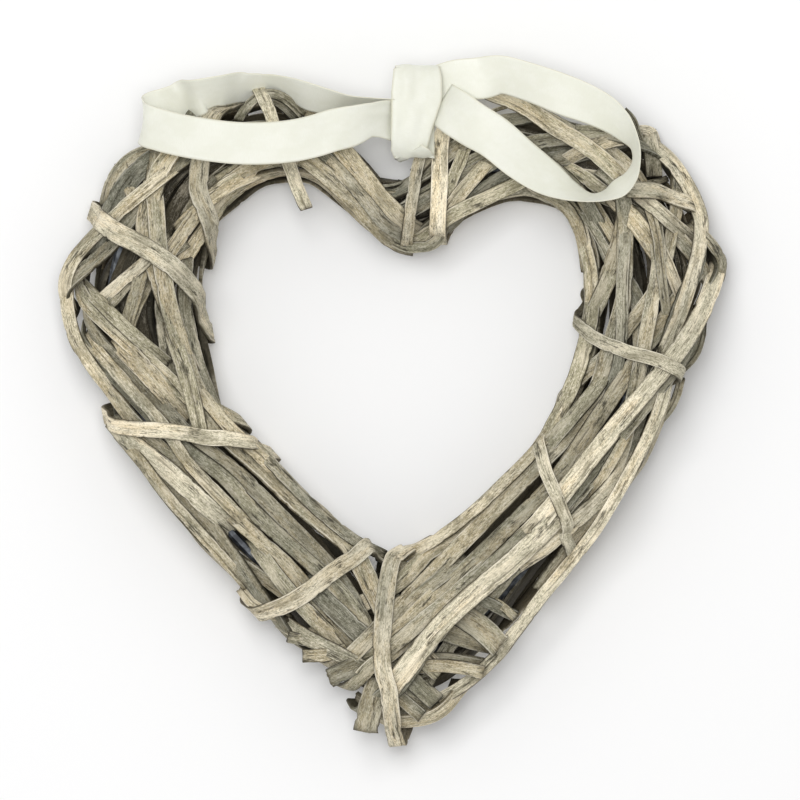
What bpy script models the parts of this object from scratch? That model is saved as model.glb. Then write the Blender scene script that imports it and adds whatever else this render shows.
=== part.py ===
"""A heart wreath of split willow strips round a wire, with a satin bow, lying on its back.

The heart lies in the XY plane with its front up and its tip towards -Y. Two numbers give a place on
the bundle: the turn, in degrees clockwise from the notch as seen from the front, and the lane, which
is -1 at the inner edge of the heart, 0 at the middle of the front and 1 at the outer edge, and goes
on round the back to 2 or -2 at the middle of the underside. The strips are laid one after another,
each on whatever already lies there.
"""

import math

import bmesh
import bpy
import numpy as np

# Driving dimensions, in metres
HEART_WIDTH = 0.250
STRIP_THICKNESS = 0.0015
WRAP_THICKNESS = 0.0013
WIRE_DIAMETER = 0.0033
RIBBON_WIDTH = 0.0158
RIBBON_THICKNESS = 0.0010
KNOT_WIDTH = 0.0165
KNOT_LENGTH = 0.0360
KNOT_HEIGHT = 0.0080
KNOT_ROUNDING = KNOT_HEIGHT * 0.3
KNOT_CLEARANCE = 0.0006

# Laying: the gap between strips, the cover over the wire, the depth kept for the pile of strips on the
# bare bundle, and how far below the bundle's surface the inner strips start
LAYING_GAP = 0.00035
WIRE_COVER = 0.0004
PILE_DEPTH = 0.0060
INNER_LEVEL = HEART_WIDTH * 0.0272
LEAST_HALF_WIDTH = 0.004
FLOOR_REACH = 0.0022

# Spacing of the cross sections, closer where a strip bends
STRIP_SEGMENT = 0.0145
BACK_SEGMENT = 0.0210
WRAP_SEGMENT = 0.0100
WIRE_SEGMENT = 0.0130
RIBBON_SEGMENT = 0.0090
BEND_SHARE = 0.014

# Outline of the willow: turn in degrees, inner and outer radius as shares of the heart's width
STATIONS = [
    (0, 0.206, 0.298), (5, 0.206, 0.330), (9.5, 0.203, 0.380), (14, 0.199, 0.420), (20, 0.235, 0.464),
    (26, 0.270, 0.470), (33, 0.316, 0.472), (40, 0.334, 0.486), (47, 0.342, 0.524), (54, 0.338, 0.536),
    (61, 0.308, 0.532), (70, 0.285, 0.530), (80, 0.272, 0.460), (90, 0.245, 0.426), (105, 0.230, 0.398),
    (120, 0.213, 0.390), (135, 0.200, 0.394), (150, 0.204, 0.426), (165, 0.218, 0.474), (180, 0.252, 0.549),
    (195, 0.220, 0.452), (210, 0.202, 0.408), (225, 0.202, 0.396), (240, 0.204, 0.398), (255, 0.246, 0.426),
    (270, 0.253, 0.454), (285, 0.281, 0.496), (300, 0.317, 0.512), (312, 0.341, 0.522), (325, 0.341, 0.508),
    (335, 0.319, 0.482), (343, 0.274, 0.430), (349, 0.230, 0.364), (354, 0.204, 0.322),
]

# Depth of the bare bundle before the strips are laid: turn in degrees, depth as a share of the heart's
# width. It is least where most strips cross
DEPTHS = [
    (0, 0.064), (15, 0.062), (32, 0.058), (55, 0.058), (80, 0.080), (110, 0.090), (140, 0.104), (160, 0.080),
    (180, 0.060), (200, 0.084), (220, 0.112), (260, 0.112), (300, 0.108), (330, 0.096), (345, 0.072),
]

# The heart wire: turn and lane, lanes within -1 to 1
WIRE_ROUTE = [
    (0, 0.25), (24, -0.30), (50, 0.20), (75, 0.30), (105, 0.35), (147, 0.45), (180, 0.45),
    (215, 0.55), (250, 0.60), (289, 0.75), (305, 0.75), (330, 0.55), (348, 0.40),
]

# Strips in the order they are laid: width in millimetres, then the route as turn and lane
BACK_STRIPS = {
    "back_strip_1": (7.0, 352, [-1.55, -1.9, -1.5, -1.8, -1.4, -1.7, -1.45]),
    "back_strip_2": (6.4, 348, [1.5, 1.75, 1.35, 1.6, 1.9, 1.45, 1.6]),
    "back_strip_3": (6.8, 344, [1.95, 1.5, 1.8, 1.95, 1.5, 1.85, 1.4]),
    "back_strip_4": (6.0, 350, [-1.2, -1.5, -1.95, -1.35, -1.85, -1.3, -1.75]),
    "side_strip_1": (6.6, 346, [1.15, 1.25, 1.1, 1.35, 1.15, 1.3, 1.1]),
    "side_strip_2": (6.2, 350, [-1.15, -1.35, -1.15, -1.5, -1.2, -1.35, -1.2]),
}
BACK_START = 6.0

INNER_STRIPS = {
    "left_inner_strip_1": (6.6, [(326, -0.5), (312, -0.6), (296, -0.4), (280, -0.5), (264, -0.35),
                                 (248, -0.5), (232, -0.35), (214, -0.5), (204, -0.3)]),
    "left_inner_strip_2": (6.0, [(325, 1.4), (300, 1.5), (280, 1.35), (260, 1.5), (240, 1.4), (220, 1.5),
                                 (207, 1.4)]),
    "right_inner_strip_1": (6.4, [(86, -0.3), (98, -0.5), (112, -0.35), (126, -0.5), (140, -0.3),
                                  (156, -0.4)]),
    "right_inner_strip_2": (6.2, [(88, 1.5), (104, 1.4), (120, 1.5), (136, 1.4), (154, 1.5)]),
}

FRONT_STRIPS = {
    "notch_deep_strip": (6.4, [(318, -0.45), (336, -0.5), (348, -0.45), (360, -0.3), (372, -0.1),
                               (384, 0.15), (398, 0.45)]),
    "left_inner_edge_strip": (5.6, [(312, -0.95), (300, -1.0), (285, -1.05), (270, -1.02), (256, -1.0),
                                    (240, -1.02), (222, -1.0), (205, -0.95), (192, -0.7)]),
    "left_outer_edge_strip": (6.4, [(326, 0.75), (318, 0.92), (310, 1.05), (302, 1.12), (294, 1.2),
                                    (284, 1.3)]),
    "notch_outer_strip": (6.2, [(322, 0.1), (334, 0.3), (343, 0.35), (352, 0.45), (360, 0.5), (368, 0.5),
                                (378, 0.7), (388, 0.95), (396, 1.1)]),
    "left_lobe_inner_strip": (6.4, [(296, -0.5), (306, -0.7), (318, -0.8), (330, -0.85), (340, -0.8),
                                    (349, -0.75), (357, -0.85), (364, -1.2), (372, -1.5)]),
    "right_lobe_inner_strip": (6.0, [(-4, -1.4), (6, -1.05), (14, -0.85), (22, -0.8), (30, -0.75),
                                     (38, -0.8), (46, -0.85), (54, -1.0), (62, -1.3)]),
    "left_lower_outer_strip": (5.6, [(256, 0.6), (246, 0.82), (236, 0.86), (224, 0.82), (212, 0.65),
                                     (202, 0.5), (192, 0.5), (184, 0.65)]),
    "right_upper_strip_1": (6.0, [(38, -0.2), (46, 0.1), (52, 0.31), (58, 0.46), (65, 0.66), (72, 0.95),
                                  (78, 1.3)]),
    "right_upper_strip_2": (5.6, [(46, -0.3), (55, 0.12), (65, 0.33), (72, 0.34), (78, 0.6), (84, 0.92),
                                  (90, 1.3)]),
    "right_lobe_crossing_strip": (6.6, [(48, 1.3), (44, 1.0), (40, 0.67), (36, 0.2), (30, -0.25),
                                        (24, -0.6), (18, -0.95)]),
    "right_lower_strip_1": (6.0, [(100, 1.15), (108, 0.95), (115, 0.7), (126, 0.42), (138, 0.15),
                                  (150, -0.1), (163, -0.4), (173, -0.7), (182, -0.95)]),
    "right_lower_strip_2": (6.0, [(80, 0.85), (88, 0.66), (98, 0.5), (109, 0.4), (121, 0.27), (134, 0.2),
                                  (150, 0.3), (164, 0.35), (174, 0.6), (181, 0.95)]),
    "tip_strip_1": (8.0, [(184, -0.6), (178, -0.3), (172, 0.05), (165, 0.38), (159, 0.92)]),
    "tip_strip_2": (4.6, [(172, -0.8), (165, -0.25), (158, 0.14), (153, 0.8)]),
    "left_long_strip_1": (6.4, [(304, -0.5), (298, -0.15), (290, 0.08), (283, 0.3), (276, 0.5),
                                (268, 0.7), (260, 0.88), (250, 1.03), (238, 1.06), (226, 1.0),
                                (214, 0.98), (204, 0.95)]),
    "left_slant_strip": (4.8, [(300, -0.3), (296, -0.05), (290, 0.3), (284, 0.65), (279, 0.98),
                               (274, 1.3)]),
    "left_lobe_slant_strip": (5.6, [(292, -0.05), (297, -0.2), (304, -0.38), (312, -0.5), (322, -0.5),
                                    (332, -0.4), (340, -0.35)]),
    "left_long_strip_2": (6.6, [(300, -0.45), (292, -0.62), (283, -0.75), (272, -0.82), (260, -0.9),
                                (246, -1.1), (236, -1.4)]),
    "right_long_strip_1": (7.0, [(34, -0.5), (46, -0.72), (56, -0.85), (68, -0.88), (80, -0.88),
                                 (93, -0.88), (106, -0.85), (120, -0.74), (138, -0.78), (156, -0.72),
                                 (170, -0.72), (180, -0.62), (187, -0.3), (193, 0.15), (200, 0.95)]),
    "right_upper_strip_3": (6.0, [(30, 0.2), (38, -0.05), (46, -0.35), (54, -0.52), (62, -0.45),
                                  (70, -0.2), (78, 0.0), (87, 0.3), (96, 0.6), (106, 0.75),
                                  (118, 0.85)]),
    "right_upper_strip_4": (5.6, [(48, 0.3), (55, -0.12), (62, -0.45), (68, -0.72), (74, -0.95),
                                  (80, -1.3)]),
    "right_upper_strip_5": (5.4, [(54, 1.0), (60, 0.6), (68, 0.25), (74, 0.0), (80, -0.3), (87, -0.6),
                                  (94, -0.88), (102, -1.2)]),
    "left_long_strip_3": (6.2, [(282, 1.25), (276, 1.03), (270, 0.92), (264, 0.72), (256, 0.5),
                                (246, 0.38), (234, 0.3), (220, 0.2), (206, 0.2), (195, 0.26), (187, 0.3),
                                (180, 0.5), (174, 0.92)]),
    "left_long_strip_4": (6.0, [(290, 1.15), (284, 1.0), (279, 0.85), (274, 0.6), (270, 0.4),
                                (265, 0.12), (258, -0.15), (248, -0.3), (236, -0.38), (222, -0.42),
                                (208, -0.4), (196, -0.3), (187, 0.0), (180, 0.4), (173, 0.85),
                                (168, 1.1)]),
    "left_long_strip_5": (5.8, [(280, 1.1), (274, 0.8), (268, 0.52), (262, 0.3), (254, 0.08),
                                (244, -0.1), (232, -0.12), (218, -0.12), (204, -0.1), (192, -0.1),
                                (183, 0.12), (174, 0.33), (167, 0.65), (162, 0.98)]),
    "left_middle_strip_1": (6.0, [(268, 1.25), (261, 1.03), (254, 0.88), (246, 0.68), (236, 0.6),
                                  (224, 0.62), (212, 0.75), (202, 0.95), (196, 1.1)]),
    "left_middle_strip_2": (6.2, [(294, 1.3), (288, 1.02), (281, 0.65), (277, 0.32), (273, 0.02),
                                  (268, -0.28), (262, -0.6), (256, -0.95), (250, -1.3)]),
    "lobe_to_lobe_strip": (6.4, [(282, 1.05), (288, 0.95), (295, 0.8), (303, 0.55), (311, 0.48),
                                 (320, 0.42), (332, 0.3), (342, 0.05), (350, -0.15), (358, -0.3),
                                 (368, -0.35), (378, -0.2), (386, 0.1), (394, 0.5), (400, 0.75)]),
    "left_long_strip_6": (8.0, [(322, 0.8), (314, 0.6), (302, 0.28), (292, -0.22), (283, -0.42),
                                (272, -0.5), (262, -0.55), (247, -0.74), (230, -0.8), (210, -0.78),
                                (194, -0.72), (184, -0.35), (177, 0.1), (171, 0.55)]),
    "right_long_strip_2": (6.4, [(44, 0.25), (52, 0.0), (64, -0.3), (76, -0.35), (88, -0.36),
                                 (98, -0.35), (112, -0.5), (128, -0.6), (146, -0.6), (162, -0.55),
                                 (176, -0.42), (184, -0.08), (190, 0.5), (194, 1.02)]),
    "right_long_strip_3": (6.4, [(70, 0.7), (78, 0.45), (86, 0.22), (95, 0.0), (106, -0.15), (121, -0.2),
                                 (138, -0.26), (154, -0.28), (168, -0.2), (178, -0.02), (185, 0.3),
                                 (190, 0.98)]),
    "right_long_strip_4": (5.8, [(6, 0.7), (13, 0.92), (21, 1.0), (29, 0.87), (38, 0.74), (46, 0.52),
                                 (55, 0.34), (63, 0.25), (72, 0.05), (82, 0.12), (92, 0.28), (104, 0.5),
                                 (116, 0.6), (130, 0.75), (146, 0.8)]),
    "right_outer_strip_1": (6.2, [(36, 0.6), (42, 0.8), (48, 1.0), (56, 1.08), (63, 1.0), (68, 0.7),
                                  (74, 0.56), (80, 0.5), (87, 0.48), (96, 0.55)]),
    "right_outer_strip_2": (6.2, [(84, 0.4), (90, 0.62), (97, 0.78), (106, 0.92), (118, 1.03),
                                  (134, 0.95), (150, 0.92), (163, 0.9), (172, 0.82), (180, 0.82),
                                  (187, 0.98)]),
    "right_long_strip_5": (8.0, [(64, 1.25), (69, 1.05), (75, 0.97), (80, 0.86), (85, 0.62), (92, 0.42),
                                 (102, 0.23), (115, 0.14), (130, 0.1), (148, 0.0), (164, 0.0),
                                 (173, 0.15), (180, 0.36), (184, 0.75), (187, 1.05)]),
}

# Cross wraps: width in millimetres, then the route as turn and lane from the outer side of the back
# over the front to the inner side of the back. A third number lifts the strip off, in millimetres
WRAPS = {
    "wrap_left_upper": (6.0, [(301, 1.92), (300, 1.5), (298.5, 1.0), (297.5, 0.6), (296, 0), (294, -0.5),
                              (291, -0.85), (286, -1.0), (283, -1.5), (281, -1.92)]),
    "wrap_left_middle": (6.0, [(266, 1.92), (265, 1.5), (263, 1.0), (258.5, 0.6), (255, 0), (251, -0.6),
                               (248, -0.95), (242, -1.05), (239, -1.5), (237, -1.92)]),
    "wrap_left_lower": (5.4, [(216, 1.92), (215, 1.5), (213, 1.0), (208, 0.6), (203, 0.05), (197, -0.45),
                              (191, -0.85), (185, -1.0), (183, -1.5), (182, -1.92)]),
    "wrap_tip": (6.4, [(179, 1.92), (179, 1.5), (180, 1.0), (182, 0.5), (183, 0.1), (182.5, -0.4),
                       (181, -0.83), (176, -0.97), (170, -1.05), (167, -1.5), (165, -1.92)]),
    "wrap_right_lower": (5.2, [(139, 1.92), (138, 1.5), (136, 1.0), (134.5, 0.78), (129.5, 0.25),
                               (124, -0.33), (117, -0.8), (109, -1.03), (106, -1.5), (104, -1.92)]),
    "wrap_right_middle": (5.2, [(96, 1.92), (95, 1.5), (93, 1.0), (88.5, 0.7), (86, 0.36), (82.5, -0.18),
                                (77.5, -0.67), (72, -0.97), (67, -1.06), (64, -1.5), (62, -1.92)]),
    "wrap_notch_left": (4.8, [(7, 1.9), (7.5, 1.5), (8, 1.0), (6.8, 0.8), (5.4, 0.32), (4.2, -0.5),
                              (3.4, -1.0), (2, -1.5), (1, -1.9)]),
    "wrap_notch_right": (6.4, [(13, 1.9), (12, 1.5), (11, 1.0), (11, 0.6), (12.2, 0.2), (14, -0.35),
                               (16.5, -0.9), (18, -1.05), (19, -1.5), (20, -1.9)]),
    "wrap_left_lobe": (6.6, [(328, 1.9), (329, 1.5), (330, 1.0), (324, 0.6), (318, 0.15), (312, -0.35),
                             (308, -0.7), (303, -1.0), (301, -1.5), (299, -1.9)]),
    "wrap_lobe_top": (5.2, [(337, 1.9), (336, 1.5), (335, 1.0), (335.5, 0.5), (335, 0), (334, -0.5),
                            (333.5, -0.72, 2.5), (333, -0.84, 8.0), (332.5, -0.88, 15.0)]),
    "wrap_right_lobe": (6.4, [(63, 1.9), (61.5, 1.5), (59, 1.0), (56, 0.78), (52.5, 0.45), (49, 0.12)]),
}

# Ribbon: centre line as x from the knot's side, y and height in shares of the heart's width, and the
# direction across the ribbon as a heading from +X and a rise out of the horizontal, in degrees
LEFT_LOOP = [
    (0, 0.378, 0.124, 90, 0), (-0.064, 0.378, 0.142, 96, 0), (-0.136, 0.359, 0.152, 100, 0),
    (-0.212, 0.353, 0.156, 92, 0), (-0.284, 0.360, 0.154, 84, 0), (-0.339, 0.372, 0.140, 80, 0),
    (-0.370, 0.384, 0.122, 84, 4), (-0.368, 0.396, 0.104, 88, 12), (-0.339, 0.408, 0.092, 92, 22),
    (-0.294, 0.424, 0.086, 96, 40), (-0.226, 0.437, 0.084, 94, 52), (-0.152, 0.438, 0.087, 90, 54),
    (-0.077, 0.424, 0.094, 86, 58), (0, 0.414, 0.108, 84, 70),
]
RIGHT_LOOP = [
    (0, 0.392, 0.124, 76, 0), (0.0475, 0.380, 0.134, 62, 0), (0.0955, 0.353, 0.139, 54, 0),
    (0.145, 0.311, 0.142, 52, 4), (0.191, 0.284, 0.146, 60, 46), (0.223, 0.276, 0.148, 76, 68),
    (0.257, 0.277, 0.150, 104, 76), (0.284, 0.299, 0.151, 140, 82), (0.297, 0.332, 0.150, 172, 88),
    (0.291, 0.364, 0.147, 208, 112), (0.267, 0.390, 0.141, 232, 142), (0.225, 0.412, 0.132, 244, 164),
    (0.167, 0.431, 0.121, 252, 176), (0.095, 0.447, 0.111, 262, 180), (0.040, 0.448, 0.106, 268, 180),
    (0, 0.444, 0.104, 270, 180),
]
KNOT_CENTRE = (0.0295, 0.405)

# Grid that records how high the pile has grown at each place of the bundle, and the trials at laying
TURN_CELLS = 1440
SIDE_CELLS = 288
SAMPLE_STEP = 0.0004
ALONG_SAMPLES = 17
ACROSS_SAMPLES = 9
ROUTE_SAMPLES = 400
ROLLING_PASSES = 4
LAYING_PASSES = 12
ROLLS = np.linspace(-0.45, 0.45, 19)
ROLL_COST = 0.0004
ROUTE_SCALE = (1.0, 0.2, 0.5)
TABLE_STEP = 0.1
SLANT_REACH = 6.0
MOST_SLANT = 1.67
OUTLINE_SMOOTHING = 4.0
DEPTH_SMOOTHING = 10.0


def smooth_route(points, spacing, closed=False):
    """Samples of a smooth curve through the points, about the spacing apart, by cubic segments."""
    points = np.array(points, float)
    on_willow = points.shape[1] == 3
    if closed:
        points = np.vstack([points[-2:] - (360, 0, 0), points, points[:3] + (360, 0, 0)])
    marks = points * ROUTE_SCALE if on_willow else points[:, :3]
    knots = np.concatenate([[0], np.cumsum(np.linalg.norm(np.diff(marks, axis=0), axis=1))])
    slopes = np.gradient(points, knots, axis=0)
    first, last = (knots[2], knots[-3]) if closed else (knots[0], knots[-1])
    fine = np.linspace(first, last, ROUTE_SAMPLES)
    index = np.clip(np.searchsorted(knots, fine, side="right") - 1, 0, len(knots) - 2)
    width = (knots[index + 1] - knots[index])[:, None]
    t = (fine[:, None] - knots[index][:, None]) / width
    start, end = points[index], points[index + 1]
    curve = (
        (2 * t**3 - 3 * t**2 + 1) * start + (t**3 - 2 * t**2 + t) * width * slopes[index]
        + (3 * t**2 - 2 * t**3) * end + (t**3 - t**2) * width * slopes[index + 1]
    )
    space = on_bundle(curve[:, 0], curve[:, 1], 0.0) if on_willow else curve[:, :3]
    steps = np.diff(space, axis=0)
    lengths = np.linalg.norm(steps, axis=1)
    tangents = steps / lengths[:, None]
    bends = np.append(np.linalg.norm(np.diff(tangents, axis=0), axis=1), 0)
    along = np.concatenate([[0], np.cumsum(lengths + BEND_SHARE * bends)])
    count = max(4, int(round(along[-1] / spacing)))
    marks = np.linspace(0, along[-1], count + 1)
    return np.column_stack([np.interp(marks, along, column) for column in curve.T])


def side_of(lane):
    """Angle round the bundle's section: 0 outward, 90 degrees up, 180 towards the heart's middle."""
    lane = np.asarray(lane, float)
    front = np.arccos(np.clip(lane, -1, 1))
    outside = -np.arccos(np.clip(2 - lane, -1, 1))
    inside = 2 * np.pi - np.arccos(np.clip(-2 - lane, -1, 1))
    return np.where(lane > 1, outside, np.where(lane < -1, inside, front))


def lane_path(route):
    """A route of turns and lanes as turns, angles round the section and heights off the pile."""
    return [(turn, math.degrees(float(side_of(lane))), *(rise or [0])) for turn, lane, *rise in route]


def smoothed(ring, span):
    """A closed row of numbers, each averaged with its neighbours over a span of turn."""
    count = 2 * round(span / TABLE_STEP / 2) + 1
    weights = np.hanning(count) / np.hanning(count).sum()
    return np.convolve(np.pad(ring, count // 2, "wrap"), weights, "valid")


def build_section_tables():
    """Middle radius, half width, half depth and slant of the bundle for each step of turn."""
    turns = np.arange(0, 360, TABLE_STEP)
    stations = np.array(STATIONS + [(360,) + STATIONS[0][1:]], float)
    inner, outer = (
        smoothed(np.interp(turns, stations[:, 0], stations[:, column]), OUTLINE_SMOOTHING) * HEART_WIDTH
        for column in (1, 2)
    )
    middle = (inner + outer) / 2
    angle = np.radians(turns)
    place = np.stack([middle * np.sin(angle), middle * np.cos(angle)])
    degree = int(round(1 / TABLE_STEP))
    tangent = np.roll(place, -degree, axis=1) - np.roll(place, degree, axis=1)
    tangent /= np.linalg.norm(tangent, axis=0)
    across = np.abs(tangent[0] * np.cos(angle) - tangent[1] * np.sin(angle))
    slant = 1 / np.maximum(across, 1 / MOST_SLANT)
    reach = int(SLANT_REACH / TABLE_STEP)
    slant = np.max([np.roll(slant, shift) for shift in range(-reach, reach + 1, degree)], axis=0)
    half_width = np.maximum((outer - inner) / 2 / slant - PILE_DEPTH, LEAST_HALF_WIDTH)
    depths = np.array(DEPTHS + [(360,) + DEPTHS[0][1:]], float)
    half_depth = smoothed(np.interp(turns, depths[:, 0], depths[:, 1]), DEPTH_SMOOTHING) * HEART_WIDTH / 2
    return turns, np.stack([middle, half_width, half_depth, slant])


def sections(turn):
    """The bundle's section at each turn, from the tables."""
    turns, tables = SECTION_TABLES
    place = np.mod(turn, 360) / TABLE_STEP
    low = np.floor(place).astype(int) % len(turns)
    share = place - np.floor(place)
    return tables[:, low] * (1 - share) + tables[:, (low + 1) % len(turns)] * share


def on_bundle(turn, side, lift):
    """Points at a lift above the bare bundle, for turns and section angles in degrees."""
    middle, half_width, half_depth, slant = sections(turn)
    angle, round_section = np.radians(turn), np.radians(side)
    radius = middle + (half_width + lift) * slant * np.cos(round_section)
    height = half_depth + (half_depth + lift) * np.sin(round_section)
    return np.stack([radius * np.sin(angle), radius * np.cos(angle), height], axis=-1)


def outward(turn, side, lift):
    """Unit normals of the bundle's surface at the lift."""
    _, half_width, half_depth, _ = sections(turn)
    angle, round_section = np.radians(turn), np.radians(side)
    flat = np.cos(round_section) / (half_width + lift)
    upward = np.sin(round_section) / (half_depth + lift)
    normal = np.stack([flat * np.sin(angle), flat * np.cos(angle), upward], axis=-1)
    return normal / np.linalg.norm(normal, axis=-1, keepdims=True)


def place_of(points):
    """Turn and section angle in degrees, and lift, of points in space."""
    turn = np.degrees(np.arctan2(points[..., 0], points[..., 1]))
    middle, half_width, half_depth, slant = sections(turn)
    flat = (np.hypot(points[..., 0], points[..., 1]) - middle) / slant
    height = points[..., 2] - half_depth
    lift = np.hypot(flat, height) - (half_width + half_depth) / 2
    floor = 0.001 - np.minimum(half_width, half_depth)
    for _ in range(8):
        lift = np.maximum(lift, floor)
        a, b = half_width + lift, half_depth + lift
        value = (flat / a) ** 2 + (height / b) ** 2 - 1
        lift = lift + value / (2 * flat**2 / a**3 + 2 * height**2 / b**3 + 1e-9)
    lift = np.maximum(lift, floor)
    side = np.degrees(np.arctan2(height / (half_depth + lift), flat / (half_width + lift)))
    return turn, side, lift


class Pile:
    """How far the laid strips reach above the bare bundle, on a grid of turns and section angles."""

    def __init__(self, level):
        self.top = np.full((TURN_CELLS, SIDE_CELLS), level)

    def cells(self, turn, side):
        row = np.floor(np.mod(turn, 360) * TURN_CELLS / 360).astype(int) % TURN_CELLS
        column = np.floor(np.mod(side, 360) * SIDE_CELLS / 360).astype(int) % SIDE_CELLS
        return row, column

    def shortfall(self, points, gap):
        """How much higher each point has to be to clear what lies there."""
        turn, side, lift = place_of(points)
        row, column = self.cells(turn, side)
        return self.top[row, column] + gap - lift

    def add(self, points):
        turn, side, lift = place_of(points)
        row, column = self.cells(turn, side)
        for turn_step in (-1, 0, 1):
            for side_step in (-1, 0, 1):
                place = ((row + turn_step) % TURN_CELLS, (column + side_step) % SIDE_CELLS)
                np.maximum.at(self.top, place, lift)


def patch(low, high, along, across):
    """Points spread over the triangles between two rows of edge points, split as band_object does."""
    s = np.linspace(0, 1, along)[:, None, None, None]
    t = np.linspace(0, 1, across)[None, :, None, None]
    near = low[:-1] + s * (low[1:] - low[:-1]) + t * (high[:-1] - low[:-1])
    far = high[1:] + (1 - s) * (high[:-1] - high[1:]) + (1 - t) * (low[1:] - high[1:])
    return np.where(s + t < 1, near, far)


def directions(centres):
    """Unit tangents along a row of points."""
    tangent = np.gradient(centres, axis=0)
    return tangent / np.linalg.norm(tangent, axis=1, keepdims=True)


def unit(vectors):
    return vectors / np.linalg.norm(vectors, axis=1, keepdims=True)


def band_corners(centres, across, up, width, thickness):
    """The four edges of a flat band along the centres: lower left, lower right, upper right, upper left."""
    half, rise = across * width / 2, up * thickness / 2
    left, right = centres - half, centres + half
    return np.stack([left - rise, right - rise, right + rise, left + rise])


def shortfalls(pile, corners):
    """How much higher each place under a band has to be, along, across and for each segment."""
    return pile.shortfall(patch(corners[0], corners[1], ALONG_SAMPLES, ACROSS_SAMPLES), LAYING_GAP)


def lay_strip(pile, route, width, thickness, segment):
    """Lays one strip on the pile along turns and section angles, and returns its four edges.

    Each cross section rises and rolls until both of its lower edges clear what lies there.
    """
    track = smooth_route(route, segment)
    turn, side, rise = track.T
    lifts = np.full((2, len(turn)), pile.top.min() + LAYING_GAP)

    def edges():
        middle = lifts.mean(axis=0) + rise / 1000 + thickness / 2
        centres = on_bundle(turn, side, middle)
        tangent = directions(centres)
        level = unit(np.cross(outward(turn, side, middle), tangent))
        up = np.cross(tangent, level)
        across = unit(level + up * ((lifts[1] - lifts[0]) / width)[:, None])
        return band_corners(centres, across, np.cross(tangent, across), width, thickness)

    across_share = np.linspace(0, 1, ACROSS_SAMPLES)
    for _ in range(ROLLING_PASSES):
        levels = lifts[0][:, None] * (1 - across_share) + lifts[1][:, None] * across_share
        need = shortfalls(pile, edges())
        half = ALONG_SAMPLES // 2 + 1
        s = np.linspace(0, 1, ALONG_SAMPLES)[:, None, None]
        held = levels[:-1] * (1 - s) + levels[1:] * s + np.moveaxis(need, 1, 2)
        wanted = np.full(levels.shape, pile.top.min() + LAYING_GAP)
        wanted[:-1] = np.maximum(wanted[:-1], held[:half].max(axis=0))
        wanted[1:] = np.maximum(wanted[1:], held[-half:].max(axis=0))
        offset = width * (across_share - 0.5)
        heights = (wanted[:, None] - ROLLS[None, :, None] * offset).max(axis=2)
        roll = ROLLS[(heights + ROLL_COST * np.abs(ROLLS)).argmin(axis=1)]
        roll = np.convolve(np.pad(roll, 1, "edge"), (0.25, 0.5, 0.25), "valid")
        height = (wanted - roll[:, None] * offset).max(axis=1)
        lifts = np.stack([height - roll * width / 2, height + roll * width / 2])
    for _ in range(LAYING_PASSES):
        need = np.clip(shortfalls(pile, edges()).max(axis=(0, 1)), 0, None)
        lifts = lifts + np.maximum(np.append(need, 0), np.insert(need, 0, 0))
    corners = edges()
    longest = np.linalg.norm(np.diff(corners, axis=1), axis=2).max()
    for low, high, span in ((0, 1, width), (3, 2, width), (0, 3, thickness), (1, 2, thickness)):
        along, across = (int(size / SAMPLE_STEP) + 2 for size in (longest, span))
        pile.add(patch(corners[low], corners[high], along, across))
    return corners


def press_flat(corners, floor):
    """Presses the lowest stretches of a wrap flat on the floor."""
    pressed = corners[..., 2].min(axis=0) < floor + FLOOR_REACH
    corners = corners.copy()
    corners[2:, pressed, 2] = floor
    corners[:2, pressed, 2] = floor + WRAP_THICKNESS
    return corners


def linked(item):
    bpy.context.collection.objects.link(item)
    return item


def band_object(name, corners, material):
    """A closed band from its four edges, its sides split into triangles as patch does."""
    count = corners.shape[1]
    data = bmesh.new()
    rows = [[data.verts.new(corners[edge, k]) for edge in range(4)] for k in range(count)]
    data.faces.new(rows[0][::-1])
    data.faces.new(rows[-1])
    for near, far in zip(rows, rows[1:]):
        for edge in range(4):
            after = (edge + 1) % 4
            if edge == 2:
                data.faces.new((near[edge], near[after], far[after]))
                data.faces.new((near[edge], far[after], far[edge]))
            else:
                data.faces.new((near[edge], near[after], far[edge]))
                data.faces.new((near[after], far[after], far[edge]))
    mesh = bpy.data.meshes.new(name)
    data.to_mesh(mesh)
    data.free()
    mesh.materials.append(material)
    return linked(bpy.data.objects.new(name, mesh))


def material(name, colour, roughness, metallic=0.0):
    made = bpy.data.materials.new(name)
    made.use_nodes = True
    shader = made.node_tree.nodes["Principled BSDF"]
    shader.inputs["Base Color"].default_value = (*colour, 1)
    shader.inputs["Roughness"].default_value = roughness
    shader.inputs["Metallic"].default_value = metallic
    return made


def heart_wire(steel):
    """The closed heart of round wire just under the strips."""
    route = lane_path(WIRE_ROUTE)
    turn, side = smooth_route(route, WIRE_SEGMENT, closed=True)[:-1, :2].T
    points = on_bundle(turn, side, -WIRE_DIAMETER / 2 - WIRE_COVER)
    curve = bpy.data.curves.new("heart_wire", "CURVE")
    curve.dimensions = "3D"
    curve.bevel_depth = WIRE_DIAMETER / 2
    curve.bevel_resolution = 1
    spline = curve.splines.new("POLY")
    spline.points.add(len(points) - 1)
    for point, place in zip(spline.points, points):
        point.co = (*place, 1)
    spline.use_cyclic_u = True
    spline.use_smooth = True
    curve.materials.append(steel)
    return linked(bpy.data.objects.new("heart_wire", curve))


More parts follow.
